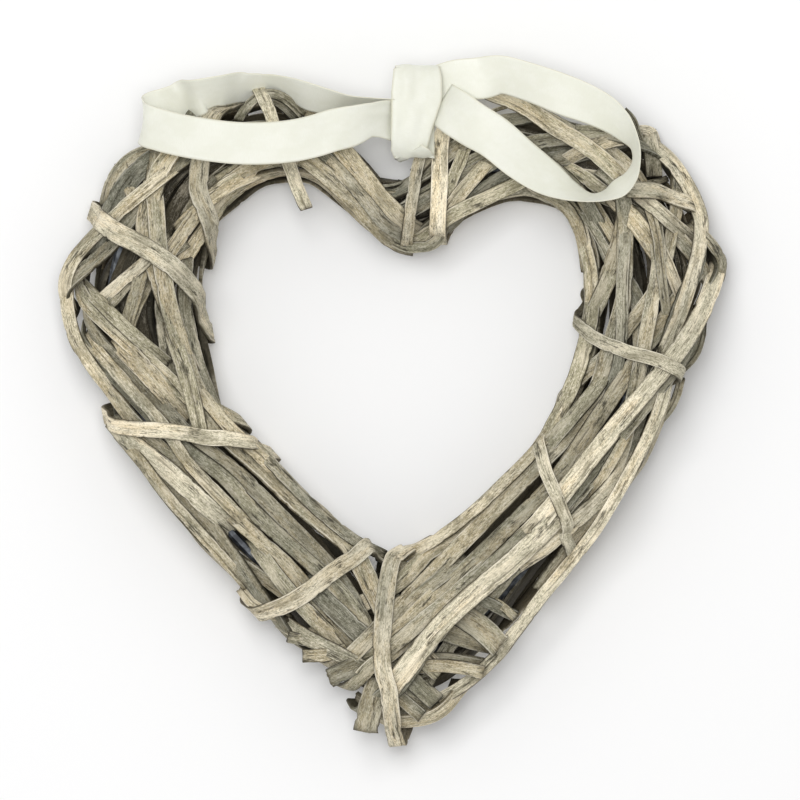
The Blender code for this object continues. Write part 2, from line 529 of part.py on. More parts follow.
def ribbon_edges(pile, stations, side):
    """A ribbon loop on one side of the knot, raised wherever it would touch the willow."""
    knot_side = KNOT_CENTRE[0] * HEART_WIDTH + side * (KNOT_WIDTH / 2 + KNOT_CLEARANCE)
    sized = np.array(stations) * (HEART_WIDTH, HEART_WIDTH, HEART_WIDTH, 1, 1) + (knot_side, 0, 0, 0, 0)
    track = smooth_route(sized, RIBBON_SEGMENT)
    centres = track[:, :3].copy()
    heading, rise = np.radians(track[:, 3:].T)
    across = np.column_stack([np.cos(rise) * np.cos(heading), np.cos(rise) * np.sin(heading), np.sin(rise)])
    across[[0, -1], 0] = 0
    across = unit(across)

    def edges():
        tangent = directions(centres)
        tangent[[0, -1]] = np.sign(tangent[[0, -1], :1]) * (1, 0, 0)
        up = unit(np.cross(tangent, across))
        return band_corners(centres, across, up, RIBBON_WIDTH, RIBBON_THICKNESS)

    for _ in range(LAYING_PASSES):
        low_left, low_right, high_right, high_left = edges()
        sides = ((low_left, low_right), (high_left, high_right))
        faces = [patch(*pair, ALONG_SAMPLES, 2 * ACROSS_SAMPLES) for pair in sides]
        need = np.maximum(*(pile.shortfall(face, LAYING_GAP) for face in faces)).max(axis=(0, 1))
        raised = np.maximum(np.append(need, 0), np.insert(need, 0, 0))
        centres[:, 2] += np.clip(raised, 0, None)
    return edges()


def knot_block(pile, satin):
    """The band round the middle of the bow, resting on the notch."""
    x, y = KNOT_CENTRE[0] * HEART_WIDTH, KNOT_CENTRE[1] * HEART_WIDTH
    across = np.arange(-KNOT_WIDTH / 2, KNOT_WIDTH / 2 + SAMPLE_STEP, SAMPLE_STEP) + x
    along = np.arange(-KNOT_LENGTH / 2, KNOT_LENGTH / 2 + SAMPLE_STEP, SAMPLE_STEP) + y
    grid = np.stack(np.meshgrid(across, along), axis=-1)
    base = 0.0
    for _ in range(4 * LAYING_PASSES):
        points = np.concatenate([grid, np.full(grid.shape[:2] + (1,), base)], axis=-1)
        base += max(0.0, pile.shortfall(points, LAYING_GAP).max())
    data = bmesh.new()
    bmesh.ops.create_cube(data, size=1.0)
    bmesh.ops.scale(data, vec=(KNOT_WIDTH, KNOT_LENGTH, KNOT_HEIGHT), verts=data.verts)
    mesh = bpy.data.meshes.new("ribbon_knot")
    data.to_mesh(mesh)
    data.free()
    mesh.materials.append(satin)
    knot = linked(bpy.data.objects.new("ribbon_knot", mesh))
    knot.location = (x, y, base + KNOT_HEIGHT / 2)
    rounding = knot.modifiers.new("rounding", "BEVEL")
    rounding.width = KNOT_ROUNDING
    rounding.segments = 2
    return knot


def stand_on_origin(parts):
    """Moves the whole wreath so that the middle of its underside is the origin."""
    bpy.context.view_layer.update()
    graph = bpy.context.evaluated_depsgraph_get()
    low, high = np.full(3, np.inf), np.full(3, -np.inf)
    for part in parts:
        mesh = part.evaluated_get(graph).to_mesh()
        points = np.array([part.matrix_world @ vertex.co for vertex in mesh.vertices])
        low, high = np.minimum(low, points.min(axis=0)), np.maximum(high, points.max(axis=0))
    frame = linked(bpy.data.objects.new("wreath_frame", None))
    frame.location = (-(low[0] + high[0]) / 2, -(low[1] + high[1]) / 2, -low[2])
    for part in parts:
        part.parent = frame


def build():
    for item in list(bpy.data.objects):
        bpy.data.objects.remove(item)
    willow = [
        material("willow_beige", (0.50, 0.43, 0.32), 0.8),
        material("willow_grey", (0.40, 0.37, 0.30), 0.85),
        material("willow_light", (0.60, 0.53, 0.42), 0.8),
    ]
    steel = material("dark_wire", (0.05, 0.055, 0.07), 0.4, 0.7)
    satin = material("cream_satin", (0.88, 0.86, 0.74), 0.4)

    inner_pile = Pile(-INNER_LEVEL)
    pile = Pile(0.0)
    parts = [heart_wire(steel)]
    for name, (width, route) in INNER_STRIPS.items():
        corners = lay_strip(inner_pile, lane_path(route), width / 1000, STRIP_THICKNESS, STRIP_SEGMENT)
        parts.append(band_object(name, corners, willow[1]))
    laid = []
    for name, (width, last, lanes) in BACK_STRIPS.items():
        turns = np.linspace(BACK_START, last, len(lanes))
        laid.append((name, width, lane_path(zip(turns, lanes)), BACK_SEGMENT))
    for name, (width, route) in FRONT_STRIPS.items():
        laid.append((name, width, lane_path(route), STRIP_SEGMENT))
    lowest = 0.0
    for number, (name, width, path, segment) in enumerate(laid):
        corners = lay_strip(pile, path, width / 1000, STRIP_THICKNESS, segment)
        lowest = min(lowest, corners[..., 2].min())
        parts.append(band_object(name, corners, willow[number % 2]))
    floor = lowest - LAYING_GAP - WRAP_THICKNESS
    for name, (width, route) in WRAPS.items():
        corners = lay_strip(pile, lane_path(route), width / 1000, WRAP_THICKNESS, WRAP_SEGMENT)
        parts.append(band_object(name, press_flat(corners, floor), willow[2]))
    parts.append(knot_block(pile, satin))
    parts.append(band_object("ribbon_left_loop", ribbon_edges(pile, LEFT_LOOP, -1), satin))
    parts.append(band_object("ribbon_right_loop", ribbon_edges(pile, RIGHT_LOOP, 1), satin))
    stand_on_origin(parts)


SECTION_TABLES = build_section_tables()
build()
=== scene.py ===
"""Looks of the heart wreath: weathered split willow, a dark wire and a cream satin bow."""

import math

import bmesh
import bpy
import numpy as np
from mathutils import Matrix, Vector


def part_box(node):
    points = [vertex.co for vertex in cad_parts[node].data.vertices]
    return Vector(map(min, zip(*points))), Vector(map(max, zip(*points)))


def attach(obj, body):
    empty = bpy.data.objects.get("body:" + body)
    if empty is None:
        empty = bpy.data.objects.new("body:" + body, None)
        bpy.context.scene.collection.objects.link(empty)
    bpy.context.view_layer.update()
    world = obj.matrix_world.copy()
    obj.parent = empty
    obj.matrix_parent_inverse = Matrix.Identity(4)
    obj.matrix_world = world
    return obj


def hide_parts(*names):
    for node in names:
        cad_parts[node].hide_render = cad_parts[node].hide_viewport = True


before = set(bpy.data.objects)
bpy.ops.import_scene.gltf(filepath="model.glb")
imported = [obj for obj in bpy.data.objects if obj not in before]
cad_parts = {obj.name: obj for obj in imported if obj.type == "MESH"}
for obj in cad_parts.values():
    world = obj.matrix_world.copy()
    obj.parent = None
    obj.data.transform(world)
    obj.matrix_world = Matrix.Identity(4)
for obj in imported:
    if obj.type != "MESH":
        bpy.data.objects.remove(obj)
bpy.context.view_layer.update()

# Sizes in metres
MM = 0.001
STEP = 1.25 * MM
HEART_WIDTH = 250 * MM
KNOT_PLACE = np.array((0.0295, 0.405))
RIBBON_WIDTH = 15.8 * MM
CLOTH = 0.3 * MM

# Relief of a willow strip in metres, and the range of its crown in millimetres
CROWN = (-0.10, 0.32)
WAVE_HEIGHT = 0.06 * MM
RIB_HEIGHT = 0.035 * MM
FIBRE_HEIGHT = 0.030 * MM
GROOVE_DEPTH = 0.08 * MM
CRACK_DEPTH = 0.40 * MM
CRACK_WIDTH = 0.22 * MM
END_REACH = 3.5 * MM
END_WEAR = 1.6 * MM
DARK_END = 1.3 * MM

# Where willow gets painted shade inside the bundle: how deep under its top that starts, and how far it
# deepens
SHADE_START = 6 * MM
SHADE_REACH = 8 * MM

# The photograph's frame: a pixel's size and the pixel at the heart's middle
PIXEL = 0.3754 * MM
MIDDLE_PIXEL = np.array((395, 380))
VIEW_PIXEL = np.array((400, 400))
VIEW_WIDTH = 800 * PIXEL
CAMERA_HEIGHT = 4.0
WREATH_HEIGHT = 0.025

knot_low, knot_high = (np.array(corner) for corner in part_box("ribbon_knot"))
KNOT_MIDDLE = (knot_low + knot_high) / 2
HEART_MIDDLE = np.array((*(KNOT_MIDDLE[:2] - KNOT_PLACE * HEART_WIDTH), 0.0))

NODES = sorted(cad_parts)
RIBBONS = [name for name in NODES if name.startswith("ribbon")]
WRAPS = [name for name in NODES if name.startswith("wrap")]
STRIPS = [name for name in NODES if name not in RIBBONS + WRAPS + ["heart_wire"]]


def place(pixel):
    """World x and y of a pixel of the photograph."""
    offset = (np.array(pixel, float) - MIDDLE_PIXEL) * (PIXEL, -PIXEL)
    return HEART_MIDDLE[:2] + offset


def unit(vectors):
    return vectors / np.maximum(np.linalg.norm(vectors, axis=-1, keepdims=True), 1e-12)


def wander(places, spacing, seed):
    """A smooth random line between -1 and 1 along the places."""
    places = np.asarray(places, float) / spacing
    rng = np.random.default_rng(seed)
    start = math.floor(places.min()) - 1
    knots = rng.uniform(-1, 1, int(places.max() - start) + 4)
    index = np.floor(places).astype(int) - start
    share = places - np.floor(places)
    share = share * share * (3 - 2 * share)
    return knots[index] * (1 - share) + knots[index + 1] * share


def grain_field(along, across, spacing, seed):
    """Smooth random values between -1 and 1 over a strip, with their own spacing along and across."""
    rows, columns = np.broadcast_arrays(along / spacing[0], across / spacing[1])
    row_start, column_start = math.floor(rows.min()), math.floor(columns.min())
    shape = int(rows.max() - row_start) + 3, int(columns.max() - column_start) + 3
    knots = np.random.default_rng(seed).uniform(-1, 1, shape)
    i, j = np.floor(rows).astype(int) - row_start, np.floor(columns).astype(int) - column_start
    u, v = rows - np.floor(rows), columns - np.floor(columns)
    u, v = u * u * (3 - 2 * u), v * v * (3 - 2 * v)
    first = knots[i, j] * (1 - v) + knots[i, j + 1] * v
    second = knots[i + 1, j] * (1 - v) + knots[i + 1, j + 1] * v
    return first * (1 - u) + second * u


def pick_seed(name):
    """A number that stays the same for a name."""
    value = 7
    for letter in name:
        value = (value * 131 + ord(letter)) % 1000003
    return value


def smoothed(values, spread, step):
    """Values in columns along an evenly divided line without short waves, with both ends kept."""
    reach = min(int(3 * spread / step), len(values) - 2)
    if reach < 1:
        return values
    kernel = np.exp(-0.5 * (np.arange(-reach, reach + 1) * step / spread) ** 2)
    kernel /= kernel.sum()
    before = 2 * values[0] - values[reach:0:-1]
    after = 2 * values[-1] - values[-2 : -reach - 2 : -1]
    padded = np.concatenate([before, values, after])
    return np.stack([np.convolve(column, kernel, "valid") for column in padded.T], axis=1)


def straightened(points, slack):
    """The points moved onto straight runs, each at most the slack away from where it was."""
    kept = {0, len(points) - 1}
    open_runs = [(0, len(points) - 1)]
    while open_runs:
        first, last = open_runs.pop()
        if last - first < 2:
            continue
        chord = points[last, :2] - points[first, :2]
        offset = points[first : last + 1, :2] - points[first, :2]
        away = np.abs(offset[:, 0] * chord[1] - offset[:, 1] * chord[0])
        away = away / max(np.linalg.norm(chord), 1e-9)
        middle = first + int(np.argmax(away))
        if away.max() > slack:
            kept.add(middle)
            open_runs += [(first, middle), (middle, last)]
    kept = sorted(kept)
    straight = points.copy()
    for axis in (0, 1):
        straight[:, axis] = np.interp(np.arange(len(points)), kept, points[kept, axis])
    return straight


def sections_of(node):
    """The four-cornered cross sections of a flat CAD band, in order from one end to the other."""
    data = bmesh.new()
    data.from_mesh(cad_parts[node].data)
    bmesh.ops.remove_doubles(data, verts=data.verts, dist=1e-6)
    data.verts.ensure_lookup_table()
    points = np.array([vertex.co for vertex in data.verts])
    links = [{edge.other_vert(vertex).index for edge in vertex.link_edges} for vertex in data.verts]
    data.free()
    ends = {index for index, near in enumerate(links) if len(near) < 6}
    row = {min(ends)} | (links[min(ends)] & ends)
    row |= {other for index in row for other in links[index]} & ends
    rows, seen = [], set()
    while row:
        rows.append(sorted(row))
        seen |= row
        row = {other for index in row for other in links[index]} - seen
    if {len(row) for row in rows} != {4}:
        raise ValueError(f"{node} isn't a band of four-cornered sections")
    return points[np.array(rows)]


def turn_of(points):
    """The angle of points round the heart's middle, from the notch on."""
    away = points - HEART_MIDDLE
    return np.arctan2(away[..., 0], away[..., 1])


def ring_points(turn, radius, height):
    return HEART_MIDDLE + np.stack([radius * np.sin(turn), radius * np.cos(turn), height], axis=1)


def core_at(turn):
    """Middle radius, half width, middle height and half depth of the ring of strips at some turns."""
    return [np.interp(turn, CORE[0], row, period=2 * math.pi) for row in CORE[1:]]


def bundle_outward(points):
    """Directions away from the core of the ring of strips."""
    turn = turn_of(points)
    radius, _, height, _ = core_at(turn)
    return unit(points - ring_points(turn, radius, height))


def marks_of(points):
    """How far each point of a line lies along it."""
    return np.concatenate([[0], np.cumsum(np.linalg.norm(np.diff(points, axis=0), axis=1))])


def spline(points, marks, fine):
    """A smooth curve through the points, by cubic segments between the marks."""
    slopes = np.gradient(points, marks, axis=0)
    index = np.clip(np.searchsorted(marks, fine, side="right") - 1, 0, len(marks) - 2)
    width = (marks[index + 1] - marks[index])[:, None]
    t = (fine - marks[index])[:, None] / width
    return (
        (2 * t**3 - 3 * t**2 + 1) * points[index] + (t**3 - 2 * t**2 + t) * width * slopes[index]
        + (3 * t**2 - 2 * t**3) * points[index + 1] + (t**3 - t**2) * width * slopes[index + 1]
    )


class Track:
    """A smooth line with a direction across it at each place, and the band's size."""

    def __init__(self, centres, across, step, width, thickness, straighten=0.0, rounding=4 * MM):
        marks = marks_of(centres)
        self.along = np.linspace(0, marks[-1], max(6, int(round(marks[-1] / step)) + 1))
        self.centres = spline(centres, marks, self.along)
        across = spline(across, marks, self.along)
        if straighten:
            self.centres = smoothed(straightened(self.centres, straighten), rounding, step)
            across = smoothed(across, 1.5 * rounding, step)
        self.half = np.interp(self.along, marks, np.broadcast_to(width, len(marks))) / 2
        self.thickness = thickness
        self.set_across(across)

    def set_across(self, across):
        self.tangent = unit(np.gradient(self.centres, axis=0))
        level = across - (across * self.tangent).sum(axis=1, keepdims=True) * self.tangent
        self.across = unit(level)
        self.up = np.cross(self.tangent, self.across)


def same_way(across):
    """The directions across a band, each turned to the side of the one before it."""
    for index in range(1, len(across)):
        if across[index] @ across[index - 1] < 0:
            across[index] *= -1
    return across


def band_lines(node):
    """Middle points of a CAD band, directions across it, its width and its thickness."""
    rows = sections_of(node)
    centres = rows.mean(axis=1)
    offsets = rows - centres[:, None]
    across = same_way(np.array([np.linalg.svd(offset)[2][0] for offset in offsets]))
    sideways = (offsets * across[:, None]).sum(axis=2)
    width = 2 * np.abs(sideways).mean()
    thickness = 2 * np.sqrt((offsets**2).sum(axis=2) - sideways**2).mean()
    return centres, across, width, thickness


def track_of(node, straighten, rounding=4 * MM):
    """The line of a CAD band, with its upper side away from the ring's core."""
    centres, across, width, thickness = band_lines(node)
    track = Track(centres, across, STEP, width * WIDER.get(node, 1.0), thickness, straighten, rounding)
    if (track.up * bundle_outward(track.centres)).sum(axis=1).mean() < 0:
        track.set_across(-track.across)
    return track


# The core's step and reach in degrees, and the percentiles of the points that bound it
CORE_STEP = 5
CORE_REACH = 7
CORE_SHARES = (4, 96)


def core_of_ring():
    """Turns round the heart, and the ring's middle radius, half width, middle height and half depth."""
    meshes = [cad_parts[name].data for name in STRIPS]
    points = np.concatenate([[vertex.co for vertex in mesh.vertices] for mesh in meshes])
    turn = turn_of(points)
    points = points - HEART_MIDDLE
    radius = np.hypot(points[:, 0], points[:, 1])
    turns = np.radians(np.arange(-180, 180, CORE_STEP))
    rows = []
    for middle in turns:
        near = np.abs((turn - middle + math.pi) % (2 * math.pi) - math.pi) < math.radians(CORE_REACH)
        low, high = np.percentile(radius[near], CORE_SHARES)
        bottom, top = np.percentile(points[near, 2], CORE_SHARES)
        rows.append(((low + high) / 2, (high - low) / 2, (bottom + top) / 2, (top - bottom) / 2))
    return turns, *np.array(rows).T


CORE = core_of_ring()


class Section:
    """Outline of a strip's section: places across as shares of the half width, heights as shares of
    the thickness. The upper side is fine, the edges are blunt and the lower side is plain."""

    def __init__(self, upper, lower):
        top = np.linspace(-0.95, 0.95, upper)
        bottom = np.linspace(0.92, -0.92, lower)
        self.across = np.concatenate([[-1.0], top, [1.0, 1.0], bottom, [-1.0]])
        sides = np.full(upper, 0.5), [0.30, -0.30], np.full(lower, -0.5)
        self.height = np.concatenate([[0.30], *sides, [-0.30]])
        self.upper = self.height > 0.4
        self.crown = np.where(self.upper, 1 - self.across**2, 0.0)


FINE = Section(19, 3)
COARSE = Section(7, 2)

# Bands that the photograph shows wider than their neighbours
WIDER = {"wrap_left_upper": 1.25, "wrap_left_lobe": 1.1, "wrap_left_lower": 1.25, "wrap_tip": 1.05}


def edge_line(along, seed):
    """Width of a split edge along a strip, as a share: gently wavy, with nicks."""
    line = 1 + 0.045 * wander(along, 17 * MM, seed) + 0.022 * wander(along, 2.6 * MM, seed + 1)
    nicks = np.clip(wander(along, 3.2 * MM, seed + 2) - 0.62, 0, 1) * 0.45
    return line - nicks


def depth_shade(points, facing):
    """How deep points that face up lie below the ring's rounded top, as a share: the strength of the painted
    shade deep in the bundle.
    """
    away = points - HEART_MIDDLE
    radius, half_width, middle, half_depth = core_at(turn_of(points))
    out = np.clip(np.abs(np.hypot(away[..., 0], away[..., 1]) - radius) / half_width, 0, 1)
    top = middle + half_depth * np.sqrt(1 - out**2)
    shade = np.clip((top - points[..., 2] - SHADE_START) / SHADE_REACH, 0, 1)
    return shade * np.clip((facing + 0.1) / 0.4, 0, 1)


def willow_body(track, seed, cracks, section=FINE, tone=None):
    """Points, map coordinates and tints of one strip along a track."""

    def wave(spacing, shift):
        """A smooth random line along the strip, as a column."""
        return wander(track.along, spacing * MM, seed + shift)[:, None]

    rng = np.random.default_rng(seed)
    along = track.along[:, None]
    length = track.along[-1]
    half = track.half[:, None]
    share = section.across[None]
    left, right = edge_line(track.along, seed + 1), edge_line(track.along, seed + 5)
    edges = np.where(share < 0, left[:, None], right[:, None])
    sideways = share * half * edges
    upper = section.upper[None]
    crown = rng.uniform(*CROWN) * MM
    height = track.thickness * section.height[None] + crown * section.crown[None]
    height = height + WAVE_HEIGHT * wave(6, 9)
    ribs = grain_field(along, sideways, (24 * MM, 0.95 * MM), seed + 11)
    fibres = grain_field(along, sideways, (9 * MM, 0.42 * MM), seed + 12)
    relief = (RIB_HEIGHT * ribs + FIBRE_HEIGHT * fibres) * upper
    groove = np.clip(-0.75 * ribs - 0.55 * fibres - 0.42, 0, 1) * upper
    crease = np.zeros_like(height)
    for number in range(cracks):
        spot = rng.uniform(-0.75, 0.75) + 0.12 * wave(34, 20 + number)
        depth = np.clip(wave(13, 40 + number) * 2.4 - 0.5, 0, 1)
        near = np.exp(-(((share - spot) * half / CRACK_WIDTH) ** 2)) * upper
        crease = np.maximum(crease, near * depth)
    height = height + relief - GROOVE_DEPTH * groove - CRACK_DEPTH * crease
    lengthwise = np.zeros_like(height)
    for end, sign in ((0, 1), (length, -1)):
        near = np.clip(1 - np.abs(track.along - end) / END_REACH, 0, 1)[:, None]
        ragged = wander(section.across * half.mean() + 1.0, 0.8 * MM, seed + 60 + int(end * 1000))[None]
        lengthwise = lengthwise + sign * near * (0.5 + 0.5 * ragged) * END_WEAR * 0.5
    points = (
        track.centres[:, None]
        + track.across[:, None] * sideways[..., None]
        + track.up[:, None] * height[..., None]
        + track.tangent[:, None] * lengthwise[..., None]
    )
    # The dark tint: edges darker where this wave is high (partly grime, partly painted shade), painted shade
    # in cracks and grooves, darker cut ends, and painted shade on the lower side, on the sides and deep in
    # the bundle
    grime = np.clip(0.55 + 0.9 * wave(11, 14), 0, 1)
    edge = np.clip((np.abs(share) - 0.84) / 0.1, 0, 1)
    near_end = np.exp(-np.minimum(along, length - along) / DARK_END)
    dark = 0.55 * edge * grime + 0.8 * crease + 0.5 * groove + 0.5 * near_end + 0.5 * (section.height < -0.4)
    facing = np.where(section.height > 0, 1, -1)[None] * track.up[:, 2:]
    dark = np.clip(dark + 0.5 * (np.abs(section.height) < 0.4) + 0.7 * depth_shade(points, facing), 0, 1)
    # Pale rims on the edges where the wave is low: partly worn wood, partly a painted highlight
    worn_rim_and_highlight = edge * np.clip(0.9 - 1.1 * grime + 0.4 * wave(5, 17), 0, 1) * upper
    tone = 0.5 + 0.34 * rng.uniform(-1, 1) if tone is None else tone
    tone = np.clip(tone + 0.26 * wave(34, 15), 0, 1)
    greyness = np.clip(rng.uniform(0, 1) + 0.3 * wave(60, 16), 0, 1)
    grid = (along + rng.uniform(0, 3) + 0 * sideways, sideways + rng.uniform(0, 1))
    tints = (tone + 0 * dark, greyness + 0 * dark, dark, worn_rim_and_highlight + 0 * dark)
    return points, np.stack(grid, axis=-1), np.stack(tints, axis=-1)


def added(name, data):
    """A new object of a mesh, a light or a camera, in the scene."""
    item = bpy.data.objects.new(name, data)
    bpy.context.scene.collection.objects.link(item)
    return item


def band_piece(name, bodies, material):
    """One mesh object from one or more tube-like bodies of points, map coordinates and tints."""
    verts, faces, coords, tints = [], [], [], []
    start = 0
    for points, grid, tint in bodies:
        rows, columns = points.shape[:2]
        verts.append(points.reshape(-1, 3))
        coords.append(grid.reshape(-1, 2))
        tints.append(tint.reshape(-1, 4))
        index = start + np.arange(rows * columns).reshape(rows, columns)
        after = np.roll(index, -1, axis=1)
        quads = np.stack([index[:-1], after[:-1], after[1:], index[1:]], axis=-1).reshape(-1, 4)
        faces.extend(quads.tolist())
        faces.append(index[0][::-1].tolist())
        faces.append(index[-1].tolist())
        start += rows * columns
    verts, coords, tints = np.concatenate(verts), np.concatenate(coords), np.concatenate(tints)
    mesh = bpy.data.meshes.new(name)
    mesh.from_pydata(verts.tolist(), [], faces)
    mesh.validate()
    layer = mesh.uv_layers.new(name="grain")
    corner = np.empty(len(mesh.loops), int)
    mesh.loops.foreach_get("vertex_index", corner)
    layer.data.foreach_set("uv", coords[corner].ravel().astype(np.float32))
    tint = mesh.attributes.new("tint", "FLOAT_COLOR", "POINT")
    tint.data.foreach_set("color", tints.ravel().astype(np.float32))
    mesh.polygons.foreach_set("use_smooth", [True] * len(mesh.polygons))
    mesh.materials.append(material)
    mesh.update()
    return added(name, mesh)


class Shader:
    """A material and short ways to make its nodes."""

    def __init__(self, name):
        self.material = bpy.data.materials.new(name)
        self.material.use_nodes = True
        self.tree = self.material.node_tree
        self.surface = self.tree.nodes["Principled BSDF"]

    def put(self, node, inputs):
        """Links or sets inputs of a node."""
        for key, value in inputs.items():
            if isinstance(value, bpy.types.NodeSocket):
                self.tree.links.new(value, node.inputs[key])
            else:
                node.inputs[key].default_value = value

    def node(self, kind, inputs=None, **settings):
        made = self.tree.nodes.new(kind)
        for key, value in settings.items():
            setattr(made, key, value)
        self.put(made, inputs or {})
        return made

    def math(self, operation, *values):
        return self.node("ShaderNodeMath", dict(enumerate(values)), operation=operation).outputs[0]

    def mix(self, share, first, second, blend="MIX"):
        inputs = {"Factor": share, 6: first, 7: second}
        return self.node("ShaderNodeMix", inputs, data_type="RGBA", blend_type=blend).outputs[2]

    def over(self, base, share, strength, colour):
        """The base with a screen colour over it, where the share says so."""
        return self.mix(self.math("MULTIPLY", share, strength), base, linear(*colour))

    def noise(self, vector, scale, detail=2.0, roughness=0.5):
        """Noise stretched by its own scale along and across the grain."""
        stretched = self.node("ShaderNodeVectorMath", {0: vector, 1: (*scale, 1.0)}, operation="MULTIPLY")
        inputs = {"Vector": stretched.outputs[0], "Scale": 1.0, "Detail": detail, "Roughness": roughness}
        return self.node("ShaderNodeTexNoise", inputs, noise_dimensions="2D").outputs["Fac"]

    def band(self, value, low, high):
        """The value spread over 0 to 1 between two limits."""
        inputs = {"Value": value, "From Min": low, "From Max": high}
        return self.node("ShaderNodeMapRange", inputs, interpolation_type="SMOOTHSTEP").outputs[0]

    def tints(self):
        """The four values that each piece's mesh carries."""
        carried = self.node("ShaderNodeAttribute", attribute_name="tint")
        parts = self.node("ShaderNodeSeparateColor", {0: carried.outputs["Color"]})
        return [*parts.outputs, carried.outputs["Alpha"]]

    def relief(self, height, strength, distance):
        bump = self.node("ShaderNodeBump", {"Strength": strength, "Distance": distance, "Height": height})
        self.put(self.surface, {"Normal": bump.outputs[0]})


def linear(red, green, blue):
    """A screen colour from 0 to 255 as a linear colour."""
    parts = [value / 255 for value in (red, green, blue)]
    curved = [((part + 0.055) / 1.055) ** 2.4 if part > 0.04 else part / 12.92 for part in parts]
    return (*curved, 1.0)


# What the willow's colours are multiplied by in the darkest and in the palest strips; the darkest strips
# carry painted shade
DARKEST = (0.49, 0.50, 0.50, 1.0)
PALEST = (1.22, 1.18, 1.15, 1.0)


def willow(name, pale, warm, grey):
    """Weathered split willow: long fibres, dark streaks, grey patches, specks and a pale wash."""
    s = Shader(name)
    grain = s.node("ShaderNodeUVMap", uv_map="grain").outputs[0]
    tone, grey_share, dark, worn_rim_and_highlight = s.tints()
    patches = s.noise(grain, (30, 150), 3, 0.6)
    lean = s.math("MULTIPLY", s.math("SUBTRACT", grey_share, 0.5), 0.46)
    greyer = s.band(s.math("ADD", patches, lean), 0.42, 0.62)
    base = s.mix(s.band(s.noise(grain, (48, 300), 3), 0.38, 0.62), linear(*pale), linear(*warm))
    base = s.mix(greyer, base, linear(*grey))
    fibre = s.noise(grain, (150, 1900), 4, 0.65)
    fine = s.noise(grain, (900, 3200), 3, 0.7)
    mottle = s.noise(grain, (210, 480), 6, 0.80)
    broad = s.noise(grain, (60, 190), 3, 0.6)
    hairs = s.noise(grain, (90, 2300), 3, 0.5)
    grime = s.noise(grain, (70, 260), 4, 0.72)
    soot = s.math("MULTIPLY", s.band(grime, 0.57, 0.68), s.band(fibre, 0.64, 0.44))
    # Where each colour lies over the ones before it, and how strongly
    layers = [
        (s.band(fibre, 0.52, 0.66), 0.50, (240, 233, 210)),
        (s.band(fibre, 0.47, 0.34), 0.60, (104, 98, 74)),
        (s.band(mottle, 0.53, 0.65), 0.56, (92, 88, 70)),
        (s.band(mottle, 0.46, 0.35), 0.54, (240, 233, 214)),
        (s.band(fine, 0.47, 0.34), 0.58, (84, 78, 58)),
        (s.band(fine, 0.55, 0.67), 0.60, (246, 240, 222)),
        (s.band(broad, 0.52, 0.68), 0.45, (118, 112, 88)),
        (s.band(broad, 0.46, 0.32), 0.40, (238, 229, 204)),
        (soot, 0.85, (58, 55, 44)),
        (s.band(hairs, 0.31, 0.26), 0.75, (62, 54, 38)),
        # painted shade with some grime: the dark tint that each mesh carries
        (dark, 0.90, (60, 54, 38)),
        # pale rims: worn edges with a painted highlight
        (worn_rim_and_highlight, 0.85, (246, 241, 224)),
    ]
    for share, strength, colour in layers:
        base = s.over(base, share, strength, colour)
    base = s.mix(1.0, base, s.mix(tone, DARKEST, PALEST), "MULTIPLY")
    s.put(s.surface, {"Base Color": base, "Roughness": 0.75, "Specular IOR Level": 0.35})
    height = s.math("ADD", s.math("MULTIPLY", fibre, 0.5), s.math("MULTIPLY", fine, 0.5))
    s.relief(height, 0.7, 0.4 * MM)
    return s.material


BEIGE, GREY, LIGHT = "willow_beige", "willow_grey", "willow_light"
FINISHES = {
    BEIGE: willow(BEIGE, (214, 204, 172), (206, 191, 154), (176, 172, 144)),
    GREY: willow(GREY, (200, 193, 166), (190, 178, 144), (162, 160, 138)),
    LIGHT: willow(LIGHT, (232, 225, 200), (224, 211, 178), (200, 196, 172)),
}
# Near-black willow for the hidden strips: painted shade in the gaps between the strips
SHADED_INNER = willow("willow_inner_shade", (58, 52, 39), (52, 45, 31), (38, 36, 28))


def wire_material():
    s = Shader("dark_wire")
    spot = s.node("ShaderNodeTexCoord").outputs["Object"]
    rough = s.node("ShaderNodeTexNoise", {"Vector": spot, "Scale": 350.0}).outputs["Fac"]
    tone = s.mix(s.band(rough, 0.4, 0.7), linear(50, 53, 57), linear(100, 104, 109))
    s.put(s.surface, {"Base Color": tone, "Metallic": 0.5, "Roughness": 0.5})
    s.relief(rough, 0.4, 0.2 * MM)
    return s.material


def satin_material():
    """Cream satin: threads across, a woven edge and faint patches."""
    s = Shader("cream_satin")
    grain = s.node("ShaderNodeUVMap", uv_map="grain").outputs[0]
    thread = s.noise(grain, (6000, 420), 2, 0.5)
    patch = s.noise(grain, (70, 110), 3, 0.6)
    edge = s.tints()[1]
    base = s.mix(s.band(patch, 0.35, 0.65), linear(233, 234, 217), linear(238, 239, 224))
    base = s.over(base, s.band(thread, 0.42, 0.60), 0.25, (228, 227, 208))
    base = s.over(base, edge, 0.55, (214, 208, 180))
    glow = {"Subsurface Weight": 0.35, "Subsurface Radius": (1.0, 1.0, 0.9), "Subsurface Scale": 2 * MM}
    s.put(s.surface, {"Base Color": base, "Roughness": 0.5, "Sheen Weight": 0.15, **glow})
    s.relief(thread, 0.3, 0.05 * MM)
    return s.material


SATIN = satin_material()

# Laying: how strips go in under others, lean and lie on what is below them, and how wraps are drawn
# down onto the strips, lifted over them and nudged sideways
TUCK_LENGTH = 18 * MM
TUCK_DEPTH = 9 * MM
TUCK_POWER = 1.6
POINT_SPACING = 4 * MM
LEAN_SPREAD = 8 * MM
MOST_LEAN = 0.25
LAID_THICKNESS = 1.6 * MM
STRIP_STIFFNESS = 3 * MM
STRIP_SLACK = 1.8 * MM
WRAP_STIFFNESS = 2.5 * MM
WRAP_SLACK = 0.5 * MM
WRAP_ROUNDING = 1.3 * MM
WRAP_LIFT = 0.9 * MM
WRAP_MOVES = (-3 * MM, 8 * MM)
OPEN_END_DROP = 3 * MM
LOWEST = 2 * MM
NUDGE_REACH = 22 * PIXEL
NUDGE_SPREAD = 2 * MM


